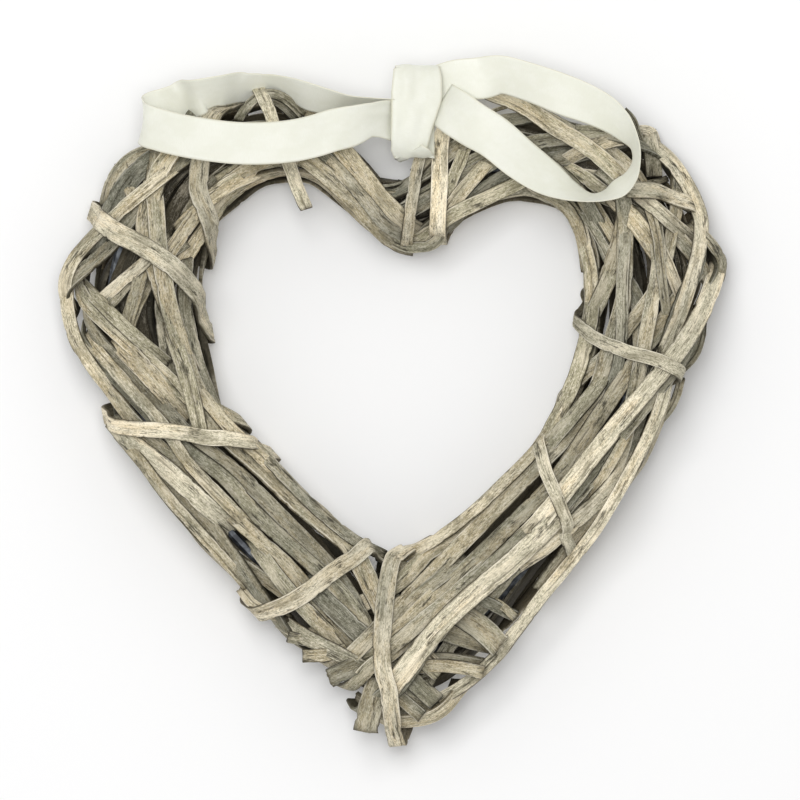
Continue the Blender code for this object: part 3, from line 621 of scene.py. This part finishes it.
class Surface:
    """The height of what has been laid so far, in square cells seen from above."""

    CELL = 1.25 * MM
    REACH = 160 * MM

    def __init__(self):
        count = int(2 * self.REACH / self.CELL)
        self.heights = np.zeros((count, count))

    def cells(self, points):
        cells = ((points[..., :2] + self.REACH) / self.CELL).astype(int)
        return tuple(np.moveaxis(np.clip(cells, 0, len(self.heights) - 1), -1, 0))

    def lay(self, points):
        np.maximum.at(self.heights, self.cells(points), points[..., 2])

    def under(self, centres, across, half):
        """The highest point below a band at each place along it."""
        shares = np.linspace(-0.85, 0.85, 7)
        spots = centres[:, None] + across[:, None] * (shares[None] * half[:, None])[..., None]
        return self.heights[self.cells(spots)].max(axis=1)


def rested(heights, step, spread):
    """A stiff line that lies on the heights: their local maximum, smoothed."""
    reach = max(1, int(round(spread / step)))
    padded = np.pad(heights, reach, mode="edge")
    highest = np.max([padded[k : k + len(heights)] for k in range(2 * reach + 1)], axis=0)
    return smoothed(highest[:, None], spread, step)[:, 0]


surface = Surface()

# How pale a strip or a wrap is as a whole, from 0 to 1: partly the wood's own colour, partly painted shade
# on strips that lie low in the bundle
TONES = {
    "right_side_outer": 1.0, "right_side_main": 0.92, "tip_right_main": 0.85, "left_side_lower": 0.8,
    "right_lobe_outer": 0.8, "right_lobe_light_slant": 0.9, "right_lobe_wide_slant": 0.62,
    "left_lobe_outer": 0.72, "left_lobe_main": 0.55, "wrap_left_upper": 0.8, "wrap_left_middle": 0.78,
    "wrap_left_lower": 0.62, "wrap_tip": 0.6, "left_lobe_back_edge": 0.3, "left_side_wide": 0.72,
    "left_lobe_upright": 0.45, "left_lobe_short": 0.4, "right_lobe_hook": 0.75, "bow_slant": 0.5,
    "bow_cross": 0.55, "right_side_edge": 0.62, "right_lobe_inner_edge": 0.6, "right_lobe_corner": 0.2,
    "lobe_splinter": 0.15, "left_lobe_under": 0.05, "lobe_crest_left": 0.1, "lobe_crest_fan": 0.25,
    "notch_knuckle": 0.4, "lobe_crest_high": 0.35, "right_lobe_hook_top": 0.8, "right_edge_dark_1": 0.1,
    "right_edge_dark_2": 0.1, "wrap_right_lobe": 0.6, "notch_twig_1": 0.05, "notch_twig_2": 0.05,
    "right_side_slant": 0.75, "notch_right_low": 0.75, "notch_left_high": 0.55, "wrap_right_middle": 0.7,
    "wrap_right_lower": 0.72, "left_lobe_inner_slant": 0.62, "left_middle_strip_1": 0.1,
    "left_lower_outer_strip": 0.2, "left_long_strip_5": 0.15, "left_long_strip_4": 0.22,
    "lobe_to_lobe_strip": 0.12, "notch_outer_strip": 0.1, "right_outer_strip_1": 0.15,
    "right_lobe_crossing_strip": 0.12, "left_edge_slant": 0.7, "left_side_long": 0.66,
    "tip_left_slant": 0.66,
}


def willow_piece(name, track, slot, replaced, cracks):
    """A strip of willow above the floor, in the place of a CAD node or laid on the others."""
    body = willow_body(track, pick_seed(name), cracks, tone=TONES.get(name))
    body[0][..., 2] = np.maximum(body[0][..., 2], 0)
    surface.lay(body[0])
    piece = band_piece(name + "_wood" if replaced else "laid_" + name, [body], FINISHES[slot])
    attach(piece, "root")
    if replaced:
        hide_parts(replaced)


def slot_of(node):
    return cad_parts[node].data.materials[0].name


for name in STRIPS:
    track = track_of(name, STRIP_SLACK)
    willow_piece(name, track, slot_of(name), name, pick_seed(name) % 3)

# Further strips of the ring where the photograph shows them, from the lowest to the highest: the
# width in pixels, the finish, and x and y of each pixel along it
LAID = {
    "left_lobe_back_edge": (12, GREY, 158, 148, 137, 154, 119, 169, 109, 187, 104, 206),
    "left_lobe_under": (21, GREY, 156, 158, 134, 176, 118, 198, 106, 228, 96, 256),
    "lobe_crest_left": (10, GREY, 186, 124, 196, 110, 212, 103, 231, 102, 247, 111),
    "lobe_crest_fan": (9, GREY, 262, 96, 280, 104, 297, 120),
    "lobe_crest_high": (10, GREY, 238, 122, 249, 106, 261, 96, 275, 95, 289, 102, 303, 115),
    "left_lobe_short": (13, BEIGE, 120, 162, 128, 184, 138, 206),
    "left_lobe_upright": (14, BEIGE, 157, 152, 153, 176, 150, 204),
    "left_lobe_inner_slant": (16, BEIGE, 262, 170, 230, 184, 205, 204, 178, 232),
    "left_lobe_rising": (13, LIGHT, 95, 305, 120, 285, 148, 262, 172, 238),
    "left_lobe_main": (18, BEIGE, 152, 176, 156, 205, 159, 240, 165, 280, 172, 315, 182, 345, 193, 374),
    "left_lobe_outer": (14, GREY, 188, 156, 160, 180, 135, 200, 112, 220, 91, 240, 73, 262, 65, 284,
        70, 312),
    "left_lobe_falling": (14, BEIGE, 147, 260, 138, 290, 128, 322, 121, 346),
    "left_edge_slant": (14, BEIGE, 82, 284, 100, 302, 120, 322, 142, 342, 168, 364),
    "left_edge_long": (14, GREY, 66, 280, 68, 312, 76, 340, 94, 368, 114, 394),
    "left_side_wide": (22, BEIGE, 116, 338, 143, 367, 168, 394, 190, 420),
    "left_side_upright": (16, BEIGE, 172, 332, 182, 360, 192, 392, 200, 425, 206, 455),
    "left_side_long": (13, GREY, 84, 336, 117, 372, 140, 398, 165, 426, 190, 464, 222, 498, 258, 534),
    "left_side_lower": (19, LIGHT, 112, 420, 130, 440, 164, 466, 198, 497, 235, 530),
    "left_inner_slant": (14, BEIGE, 193, 382, 210, 404, 232, 430, 256, 452, 286, 482),
    "right_lobe_inner_edge": (14, BEIGE, 573, 204, 583, 235, 590, 265, 592, 300, 588, 330),
    "right_lobe_inner_corner": (12, BEIGE, 524, 184, 554, 198, 572, 214, 582, 240, 587, 272),
    "right_lobe_inner_cross": (17, BEIGE, 618, 260, 607, 282, 597, 305, 587, 330),
    "right_lobe_thin_slant": (10, GREY, 577, 203, 592, 226, 606, 250, 618, 274),
    "right_lobe_short_slant": (12, BEIGE, 592, 202, 604, 222, 619, 248),
    "right_lobe_upright": (12, LIGHT, 622, 206, 624, 240, 622, 280, 621, 330, 617, 366, 606, 400),
    "right_lobe_wide_slant": (19, BEIGE, 611, 195, 630, 216, 648, 240, 665, 264),
    "right_lobe_low_slant": (13, LIGHT, 654, 236, 664, 258, 674, 282, 685, 308),
    "right_lobe_narrow": (10, BEIGE, 640, 188, 648, 208, 656, 238, 660, 268, 664, 300, 668, 328),
    "right_lobe_light_slant": (15, LIGHT, 631, 189, 650, 205, 670, 222, 695, 241),
    "right_lobe_upper_slant": (12, GREY, 650, 185, 672, 196, 693, 208),
    "right_lobe_outer": (15, LIGHT, 650, 143, 668, 157, 682, 176, 694, 198, 701, 220, 700, 242, 694, 268,
        685, 298, 673, 330, 660, 360),
    "right_lobe_corner": (11, GREY, 690, 222, 704, 236, 716, 250, 722, 262, 719, 280),
    "right_lobe_hook": (17, GREY, 649, 130, 652, 150, 655, 177),
    "right_lobe_hook_top": (10, LIGHT, 629, 139, 637, 131, 646, 129, 654, 133, 657, 143),
    "right_lobe_frayed": (7, GREY, 634, 189, 647, 184, 659, 181, 668, 178),
    "right_edge_dark_1": (8, GREY, 703, 322, 701, 340, 694, 356, 682, 369),
    "right_edge_dark_2": (8, GREY, 681, 378, 677, 394, 669, 410, 657, 424),
    "notch_left_low": (18, GREY, 292, 148, 322, 172, 352, 200, 376, 226, 396, 242, 414, 247),
    "notch_left_high": (20, BEIGE, 304, 102, 330, 135, 360, 172, 388, 206, 410, 226, 428, 236),
    "notch_left_middle": (13, LIGHT, 318, 150, 345, 178, 368, 204, 390, 228, 410, 238),
    "notch_fan_1": (13, BEIGE, 474, 128, 460, 162, 449, 190, 438, 222, 428, 244),
    "notch_fan_2": (15, GREY, 506, 146, 481, 170, 459, 195, 441, 220, 422, 243),
    "notch_right_low": (15, BEIGE, 546, 168, 512, 186, 480, 201, 449, 217, 424, 236, 402, 246),
    "notch_knuckle": (12, BEIGE, 388, 236, 402, 245, 418, 247, 433, 244, 441, 234, 443, 220),
    "bow_slant_low": (14, BEIGE, 558, 163, 584, 177, 607, 193),
    "bow_cross": (14, LIGHT, 632, 137, 606, 142, 580, 152, 554, 167),
    "bow_slant": (17, BEIGE, 470, 82, 492, 92, 520, 104, 552, 126, 585, 146, 612, 168, 634, 192),
    "right_side_edge": (16, BEIGE, 594, 288, 591, 316, 585, 345, 577, 372, 566, 400, 553, 425, 539, 452),
    "right_side_inner": (15, BEIGE, 613, 360, 598, 385, 578, 410, 556, 436, 533, 464),
    "right_side_slant": (17, LIGHT, 636, 452, 606, 491, 574, 521, 545, 545, 512, 568),
    "right_side_frayed": (11, BEIGE, 634, 418, 614, 456, 601, 478, 590, 500),
    "right_side_outer": (13, LIGHT, 668, 370, 661, 400, 648, 434, 632, 466, 614, 498, 593, 532, 568, 564,
        542, 596, 518, 628, 492, 660, 462, 686, 430, 704),
    "right_side_main": (19, LIGHT, 719, 264, 710, 292, 697, 320, 676, 352, 650, 385, 622, 418, 595, 452,
        567, 487, 538, 522, 508, 553),
    "left_lower_edge": (12, GREY, 118, 434, 141, 460, 166, 493, 196, 527, 224, 558, 248, 586),
    "left_lower_knuckle": (12, BEIGE, 240, 588, 252, 602, 268, 612, 290, 620),
    "inner_lower_left": (12, GREY, 254, 444, 279, 471, 303, 496, 329, 520, 356, 541, 384, 556),
    "inner_lower_right": (12, GREY, 398, 560, 438, 538, 471, 513, 501, 485, 529, 457, 547, 436, 558, 422),
    "notch_twig_1": (3, GREY, 376, 187, 397, 184, 416, 174),
    "notch_twig_2": (3, GREY, 380, 193, 400, 192, 418, 185),
    "lobe_splinter": (4, GREY, 648, 152, 641, 136, 634, 118, 625, 108),
    "tip_left_slant": (16, BEIGE, 250, 538, 275, 572, 300, 602, 325, 628, 348, 650),
    "tip_left_wide": (20, GREY, 304, 578, 330, 604, 355, 628, 374, 646),
    "tip_left_edge": (16, GREY, 278, 620, 305, 636, 335, 651, 374, 672),
    "tip_stub_1": (12, GREY, 316, 640, 301, 639, 287, 636),
    "tip_stub_2": (14, GREY, 350, 648, 325, 654, 302, 655),
    "tip_stub_3": (20, GREY, 376, 656, 350, 668, 328, 678),
    "tip_stub_4": (25, GREY, 380, 678, 371, 706, 366, 732),
    "tip_low_1": (14, GREY, 392, 690, 408, 704, 422, 716),
    "tip_low_2": (19, BEIGE, 406, 674, 422, 689, 437, 702),
    "tip_low_3": (14, BEIGE, 416, 667, 440, 665, 462, 667, 484, 672),
    "tip_square_end": (25, BEIGE, 450, 609, 476, 624, 501, 646),
    "tip_small_end": (9, BEIGE, 484, 594, 500, 604, 516, 618),
    "tip_right_high": (14, GREY, 390, 620, 415, 598, 440, 578, 467, 558),
    "tip_crossing": (16, BEIGE, 350, 656, 380, 642, 405, 622, 430, 598, 457, 572),
    "tip_right_middle": (16, GREY, 372, 662, 395, 643, 420, 622, 445, 602, 470, 580, 497, 558),
    "tip_right_main": (21, LIGHT, 377, 702, 394, 683, 415, 655, 437, 628, 460, 605, 482, 586, 510, 562,
        540, 534, 568, 504),
}
# How far a strip is lifted off those below it
LIFTS = {"lobe_crest_left": 8 * MM, "lobe_crest_fan": 8 * MM, "lobe_crest_high": 10 * MM}
# How the names of strips start whose last end is a cut end that shows
OPEN_ENDS = ("tip_stub", "tip_low", "tip_square", "tip_small", "lobe_splinter")

# Where the photograph shows a wrap a little beside its line: x and y of a pixel on the line, and of
# the pixel where it belongs
NUDGES = {
    "wrap_left_upper": [(98, 215, 89, 212), (108, 226, 98, 217), (118, 235, 111, 226),
        (148, 259, 151, 251), (175, 278, 180, 270), (197, 300, 198, 300), (199, 315, 201, 316)],
    "wrap_left_middle": [(171, 437, 171, 431), (221, 438, 221, 437), (127, 431, 126, 426),
        (109, 417, 106, 417), (108, 410, 108, 414), (255, 436, 257, 444)],
    "wrap_left_lower": [(291, 591, 295, 599), (330, 565, 335, 570), (362, 537, 369, 545),
        (259, 607, 257, 614), (251, 599, 246, 607)],
    "wrap_tip": [(385, 710, 391, 708), (392, 742, 399, 748), (387, 582, 387, 580), (392, 560, 397, 556),
        (410, 554, 413, 546), (424, 547, 428, 541)],
    "wrap_right_lower": [(576, 562, 570, 549), (572, 566, 566, 551), (562, 562, 556, 547),
        (568, 533, 569, 528), (534, 453, 538, 446), (547, 488, 551, 486)],
    "wrap_right_middle": [(689, 374, 682, 374), (637, 356, 637, 355)],
    "wrap_notch_left": [(401, 256, 406, 244), (405, 237, 408, 231), (409, 209, 411, 205)],
    "wrap_lobe_top": [(282, 136, 276, 130), (272, 111, 264, 99), (266, 102, 258, 89),
        (292, 172, 292, 172)],
    "wrap_right_lobe": [(665, 184, 668, 194), (690, 196, 689, 205), (640, 182, 645, 188)],
    "wrap_left_lobe": [(209, 250, 213, 247), (205, 222, 211, 222), (196, 178, 198, 180)],
}


def nudged(track, pairs):
    """The track moved sideways, most where the pairs of pixels say so."""
    starts, ends = (np.array([place(pair[k : k + 2]) for pair in pairs]) for k in (0, 2))
    away = np.linalg.norm(track.centres[:, None, :2] - starts[None], axis=2)
    pull = np.exp(-((away / NUDGE_REACH) ** 2))
    move = pull @ (ends - starts) / np.maximum(pull.sum(axis=1, keepdims=True), 0.35)
    track.centres[:, :2] += smoothed(move, NUDGE_SPREAD, STEP)
    track.set_across(track.across)
    return track


def laid_track(numbers, width, open_end, lift):
    """A strip that lies on those below it and whose ends go in under their neighbours."""
    flat = np.array([(*place(pixel), 0.0) for pixel in np.reshape(numbers, (-1, 2))])
    marks = marks_of(flat)
    fine = np.linspace(0, marks[-1], max(8, int(marks[-1] / POINT_SPACING)))
    centres = spline(flat, marks, fine)
    sideways = np.cross(unit(np.gradient(centres, axis=0)), (0, 0, 1.0))
    track = Track(centres, sideways, STEP, width * PIXEL, LAID_THICKNESS)
    waist = core_at(turn_of(track.centres))[2]
    below = np.maximum(surface.under(track.centres, track.across, track.half), waist)
    height = rested(below, STEP, STRIP_STIFFNESS) + 0.6 * LAID_THICKNESS + lift
    if open_end:
        height = np.maximum(height, height.max() - OPEN_END_DROP)
    sink = np.clip(1 - track.along / TUCK_LENGTH, 0, 1) ** TUCK_POWER
    if not open_end:
        sink = sink + np.clip(1 - (track.along[-1] - track.along) / TUCK_LENGTH, 0, 1) ** TUCK_POWER
    track.centres[:, 2] = np.maximum(height - TUCK_DEPTH * sink, LOWEST)
    edge = track.across * track.half[:, None]
    left = surface.under(track.centres - edge, track.across, track.half * 0.3)
    right = surface.under(track.centres + edge, track.across, track.half * 0.3)
    lean = smoothed((right - left)[:, None], LEAN_SPREAD, STEP)
    lean = np.clip(lean / (2 * track.half[:, None]), -MOST_LEAN, MOST_LEAN)
    track.set_across(track.across + lean * np.array((0, 0, 1.0)))
    if track.up[:, 2].mean() < 0:
        track.set_across(-track.across)
    return track


for name, (width, slot, *numbers) in LAID.items():
    track = laid_track(numbers, width, name.startswith(OPEN_ENDS), LIFTS.get(name, 0.0))
    willow_piece(name, track, slot, None, 1 + pick_seed(name) % 2)


def hugging(track):
    """The wrap with its upper part drawn down onto the strips, or lifted over them."""
    below = surface.under(track.centres, track.across, track.half)
    wanted = rested(below, STEP, WRAP_STIFFNESS) + WRAP_LIFT
    facing_up = np.clip((track.up[:, 2] - 0.12) / 0.36, 0, 1)
    move = np.clip(wanted - track.centres[:, 2], *WRAP_MOVES) * facing_up
    track.centres[:, 2] += smoothed(move[:, None], WRAP_STIFFNESS, STEP)[:, 0]
    track.set_across(track.across)
    return track


for name in WRAPS:
    track = track_of(name, WRAP_SLACK, WRAP_ROUNDING)
    if name in NUDGES:
        track = nudged(track, NUDGES[name])
    willow_piece(name, hugging(track), slot_of(name), name, 1)


# Hidden strips in near-black willow, painted shade for the gaps between strips: how many pieces of how many
# strips each, and the points, step and size of a strip
FILLER_PIECES = 4
FILLERS = 16
FILLER_POINTS = 12
FILLER_STEP = 2.2 * MM
FILLER_WIDTHS = (4.5, 7)
FILLER_THICKNESS = 1.2 * MM


def filler(number):
    """A hidden strip inside the ring."""
    rng = np.random.default_rng(500 + number)
    start, span = rng.uniform(0, 2 * math.pi), math.radians(rng.uniform(50, 130))
    turn = start + np.linspace(0, span, FILLER_POINTS)
    side = rng.uniform(0, 2 * math.pi) + rng.uniform(-1.6, 1.6) * np.linspace(0, 1, FILLER_POINTS)
    radius, half, middle, depth = core_at((turn + math.pi) % (2 * math.pi) - math.pi)
    share = rng.uniform(0.25, 0.8)
    flat = np.maximum(half - 7.5 * MM, 2 * MM) * share * np.cos(side)
    rise = np.maximum(depth - 5.5 * MM, 2 * MM) * share * np.sin(side)
    points = ring_points(turn, radius + flat, middle + rise)
    lean = side + rng.uniform(-0.5, 0.5)
    out = np.stack([np.sin(turn), np.cos(turn), 0 * turn], axis=1)
    across = -np.sin(lean)[:, None] * out + np.cos(lean)[:, None] * np.array((0, 0, 1.0))
    return Track(points, across, FILLER_STEP, rng.uniform(*FILLER_WIDTHS) * MM, FILLER_THICKNESS)


for batch in range(FILLER_PIECES):
    numbers = range(batch * FILLERS, (batch + 1) * FILLERS)
    bodies = [willow_body(filler(number), 900 + number, 1, COARSE) for number in numbers]
    piece = band_piece(f"inner_willow_{batch + 1}", bodies, SHADED_INNER)
    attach(piece, "root")

# Wire
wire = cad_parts["heart_wire"]
wire.data.materials[0] = wire_material()
for face in wire.data.polygons:
    face.use_smooth = True

# Ribbon: the points across it, the steps along it, the gap between the CAD band and the rows given
# below, and how far from the knot's middle the loops are gathered
COLUMNS = 21
LOOP_STEP = 1.0 * MM
KNOT_STEP = 0.8 * MM
LOOP_SEAM = 3 * MM
GATHER_REACH = 26 * MM


def satin_body(track, ripple):
    """Points, map coordinates and tints of a thin band of satin with a woven edge."""
    share = np.concatenate([np.linspace(-1, 1, COLUMNS), np.linspace(1, -1, COLUMNS)])
    face = np.concatenate([np.ones(COLUMNS), -np.ones(COLUMNS)]) * CLOTH / 2
    sideways = share[None] * track.half[:, None]
    height = face[None] + np.concatenate([ripple, ripple[:, ::-1]], axis=1)
    points = track.centres[:, None] + track.across[:, None] * sideways[..., None]
    points = points + track.up[:, None] * height[..., None]
    none = np.zeros_like(sideways)
    grid = np.stack([track.along[:, None] + none, sideways], axis=-1)
    edge = np.clip((np.abs(share) - 0.93) / 0.04, 0, 1)[None] + none
    return points, grid, np.stack([none, edge, none, none], axis=-1)


def waves(track, spacing, seed):
    """Smooth random values between -1 and 1 over a band of satin."""
    sideways = np.linspace(-1, 1, COLUMNS)[None] * RIBBON_WIDTH / 2
    return grain_field(track.along[:, None], sideways, spacing, seed)


# Where the loops go into the knot: x and y of the pixel in the middle of the band, half its width as
# seen in pixels, its height and half its true width in millimetres, and the direction across as seen
LEFT_FIRST_END = [
    (394, 121, 20.5, 34.0, 7.8, 0, 1),
    (386, 120, 19.0, 37.5, 7.3, 0.08, 1),
    (372, 121, 17.0, 41.0, 6.7, 0, 1),
    (351, 127.5, 20.5, 43.2, 7.8, -0.08, 1),
]
LEFT_LAST_END = [
    (288, 89.5, 10.5, 33.0, 7.9, 0, 1),
    (306, 96.5, 13.5, 35.5, 7.9, 0, 1),
    (327, 102, 12.0, 36.5, 7.9, 0, 1),
    (348, 103.2, 6.5, 36.0, 7.2, 0, 1),
    (370, 102.5, 3.6, 34.8, 6.0, 0, 1),
    (393, 101.5, 1.6, 33.6, 4.6, 0, 1),
]
RIGHT_FIRST_END = [
    (434, 84, 17.0, 32.5, 6.4, 0, 1),
    (456, 80, 19.5, 34.6, 7.4, -0.03, 1),
    (480, 79, 21.0, 35.4, 7.9, -0.02, 1),
    (501, 75.7, 18.7, 36.0, 7.9, 0.10, 1),
    (521.5, 80.7, 18.6, 36.8, 7.9, 0.2, 0.98),
    (543, 88, 19.4, 37.8, 7.9, 0.28, 0.96),
    (565, 96.5, 20.0, 38.9, 7.9, 0.34, 0.94),
    (587, 105, 18.5, 40.2, 7.9, 0.42, 0.91),
    (607, 116, 16.0, 41.8, 7.9, 0.50, 0.87),
    (623, 130, 11.0, 43.3, 7.9, 0.68, 0.73),
    (634, 147, 4.0, 44.4, 7.9, 0.9, 0.43),
]
RIGHT_LAST_END = [
    (635, 163, 3.2, 44.6, 7.9, 1, -0.1),
    (630, 177, 6.0, 44.6, 7.9, 0.78, -0.62),
    (618, 189, 9.0, 44.5, 7.9, 0.42, -0.9),
    (604, 196.5, 5.5, 44.4, 7.9, 0.1, -1),
    (592, 198.5, 4.5, 44.2, 7.9, -0.1, -1),
    (572, 193, 10.0, 43.8, 7.9, -0.25, -0.97),
    (548, 180, 17.5, 43.2, 7.9, -0.45, -0.9),
    (522, 162, 20.5, 42.8, 8.0, -0.55, -0.83),
    (490, 136, 21.8, 42.2, 8.2, -0.56, -0.83),
    (473, 126, 22.4, 41.0, 8.5, 0.52, 0.85),
    (457, 115, 23.0, 38.6, 8.7, 0.50, 0.87),
    (440, 103, 22.0, 34.0, 8.2, 0.46, 0.89),
]
LOOP_ENDS = {
    "ribbon_left_loop": (LEFT_FIRST_END, LEFT_LAST_END),
    "ribbon_right_loop": (RIGHT_FIRST_END, RIGHT_LAST_END),
}


def loop_end(rows):
    """Middle points, directions across and widths of the rows given for the end of a loop."""
    centres, across, widths = [], [], []
    for x, y, seen, height, half, *direction in rows:
        centres.append((*place((x, y)), height * MM))
        flat = min(seen * PIXEL / (half * MM), 1.0)
        across.append((*(unit(np.array(direction, float)) * flat), math.sqrt(1 - flat * flat)))
        widths.append(2 * half * MM)
    return np.array(centres), np.array(across), np.array(widths)


def loop_track(name):
    """A loop of the bow: the CAD band, with its ends drawn together into the knot."""
    centres, across, _, thickness = band_lines(name)
    widths = np.full(len(centres), RIBBON_WIDTH)
    first, last = (loop_end(rows) for rows in LOOP_ENDS[name])
    if np.linalg.norm(centres[0] - first[0][0]) > np.linalg.norm(centres[0] - last[0][-1]):
        centres, across = centres[::-1], across[::-1]
    far = np.abs(centres[:, 0] - KNOT_MIDDLE[0])
    outbound = np.arange(len(centres)) < np.argmax(far)
    reach_first, reach_last = (np.abs(part[0][:, 0] - KNOT_MIDDLE[0]).max() for part in (first, last))
    kept = np.where(outbound, far > reach_first + LOOP_SEAM, far > reach_last + LOOP_SEAM)
    parts = zip(first, (centres[kept], across[kept], widths[kept]), last)
    centres, across, widths = (np.concatenate(part) for part in parts)
    return Track(centres, same_way(across), LOOP_STEP, widths, thickness)


def satin_piece(name, node, track, ripple):
    piece = band_piece(name, [satin_body(track, ripple)], SATIN)
    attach(piece, "root")
    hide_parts(node)


for name in LOOP_ENDS:
    track = loop_track(name)
    near = np.clip(1 - np.abs(track.centres[:, 0] - KNOT_MIDDLE[0]) / GATHER_REACH, 0, 1)[:, None]
    soft = waves(track, (14 * MM, 9 * MM), pick_seed(name))
    gathers = waves(track, (22 * MM, 2.6 * MM), pick_seed(name) + 1)
    ripple = 0.2 * MM * soft + 0.7 * MM * near**1.5 * gathers
    satin_piece(name + "_satin", name, track, ripple)

# The knot in pixels: rows of the front of its band, from its top to its foot, and the left and right
# edge in each
KNOT_ROWS = np.array((60, 80, 97, 125, 145, 160))
KNOT_LEFT = np.array((394, 392.5, 391, 391, 390.5, 391.5))
KNOT_RIGHT = np.array((438, 442, 442, 433, 428, 418))

# Points round the knot's band, and the degrees where it starts and that it spans
KNOT_POINTS = 90
KNOT_START = -95
KNOT_SPAN = 370


def knot_track():
    """The band of ribbon round the middle of the bow, from under its foot, over the front and back."""
    size = (knot_high - knot_low) / 2 - 0.2 * MM
    turn = np.radians(np.linspace(KNOT_START, KNOT_START + KNOT_SPAN, KNOT_POINTS))
    draw = np.interp(np.degrees(turn), (KNOT_START, 100), (0.86, 1.0))
    cosine, sine = np.cos(turn), np.sin(turn)
    y = size[1] * np.sign(cosine) * np.abs(cosine) ** 0.55 * draw
    z = (size[2] + 0.8 * MM) * np.sign(sine) * np.abs(sine) ** 0.7 * draw
    z = z - np.where((y < 0) & (z > 0), 2.0 * MM * (y / size[1]) ** 4, 0)
    row = MIDDLE_PIXEL[1] - (KNOT_MIDDLE[1] + y - HEART_MIDDLE[1]) / PIXEL
    left, right = (np.interp(row, KNOT_ROWS, edge) for edge in (KNOT_LEFT, KNOT_RIGHT))
    front = np.clip(z / (2 * MM), 0, 1)
    middle = front * ((left + right) / 2 - MIDDLE_PIXEL[0]) * PIXEL
    middle = middle + (1 - front) * (KNOT_MIDDLE[0] - HEART_MIDDLE[0])
    width = front * (right - left) * PIXEL + (1 - front) * RIBBON_WIDTH * 0.94
    centres = np.column_stack([HEART_MIDDLE[0] + middle, KNOT_MIDDLE[1] + y, KNOT_MIDDLE[2] + z])
    across = np.tile((1.0, 0.0, 0.0), (len(centres), 1))
    track = Track(centres, across, KNOT_STEP, width, CLOTH)
    if (track.up * (track.centres - KNOT_MIDDLE)).sum() < 0:
        track.set_across(-track.across)
    return track


track = knot_track()
pleats = waves(track, (16 * MM, 3.4 * MM), 77)
soft = waves(track, (9 * MM, 7 * MM), 78)
rolled = np.abs(np.linspace(-1, 1, COLUMNS)[None]) ** 4
ripple = 0.45 * MM * pleats + 0.25 * MM * soft - 0.5 * MM * rolled
satin_piece("ribbon_knot_satin", "ribbon_knot", track, ripple)

# Floor, light and camera
FLOOR_REACH = 3.0
SKY_STRENGTH = 0.54
SENSOR = 36
floor_mesh = bpy.data.meshes.new("floor")
corners = [(x * FLOOR_REACH, y * FLOOR_REACH, 0) for x, y in ((-1, -1), (1, -1), (1, 1), (-1, 1))]
floor_mesh.from_pydata(corners, [], [(0, 1, 2, 3)])
floor = added("floor", floor_mesh)
paper = Shader("floor_paper")
paper.put(paper.surface, {"Base Color": (0.93, 0.93, 0.93, 1), "Roughness": 0.9})
floor_mesh.materials.append(paper.material)

world = bpy.data.worlds.new("studio")
bpy.context.scene.world = world
world.use_nodes = True
sky = world.node_tree.nodes["Background"]
sky.inputs["Color"].default_value = (1, 1, 1, 1)
sky.inputs["Strength"].default_value = SKY_STRENGTH


def lamp(name, spot, size, power):
    """A square lamp that points at the middle of the floor."""
    light = bpy.data.lights.new(name, "AREA")
    light.size = size
    light.energy = power
    item = added(name, light)
    item.location = spot
    item.rotation_euler = (-Vector(spot)).to_track_quat("-Z", "Y").to_euler()


lamp("key", spot=(-0.25, 0.40, 1.7), size=0.8, power=13.2)
lamp("top", spot=(0.0, 0.05, 1.7), size=0.4, power=5.0)

camera_data = bpy.data.cameras.new("camera")
camera_data.sensor_width = SENSOR
camera_data.lens = SENSOR * (CAMERA_HEIGHT - WREATH_HEIGHT) / VIEW_WIDTH
camera_data.clip_end = 20
camera = added("camera", camera_data)
camera.location = (*place(VIEW_PIXEL), CAMERA_HEIGHT)
bpy.context.scene.camera = camera
bpy.context.scene.view_settings.view_transform = "Standard"
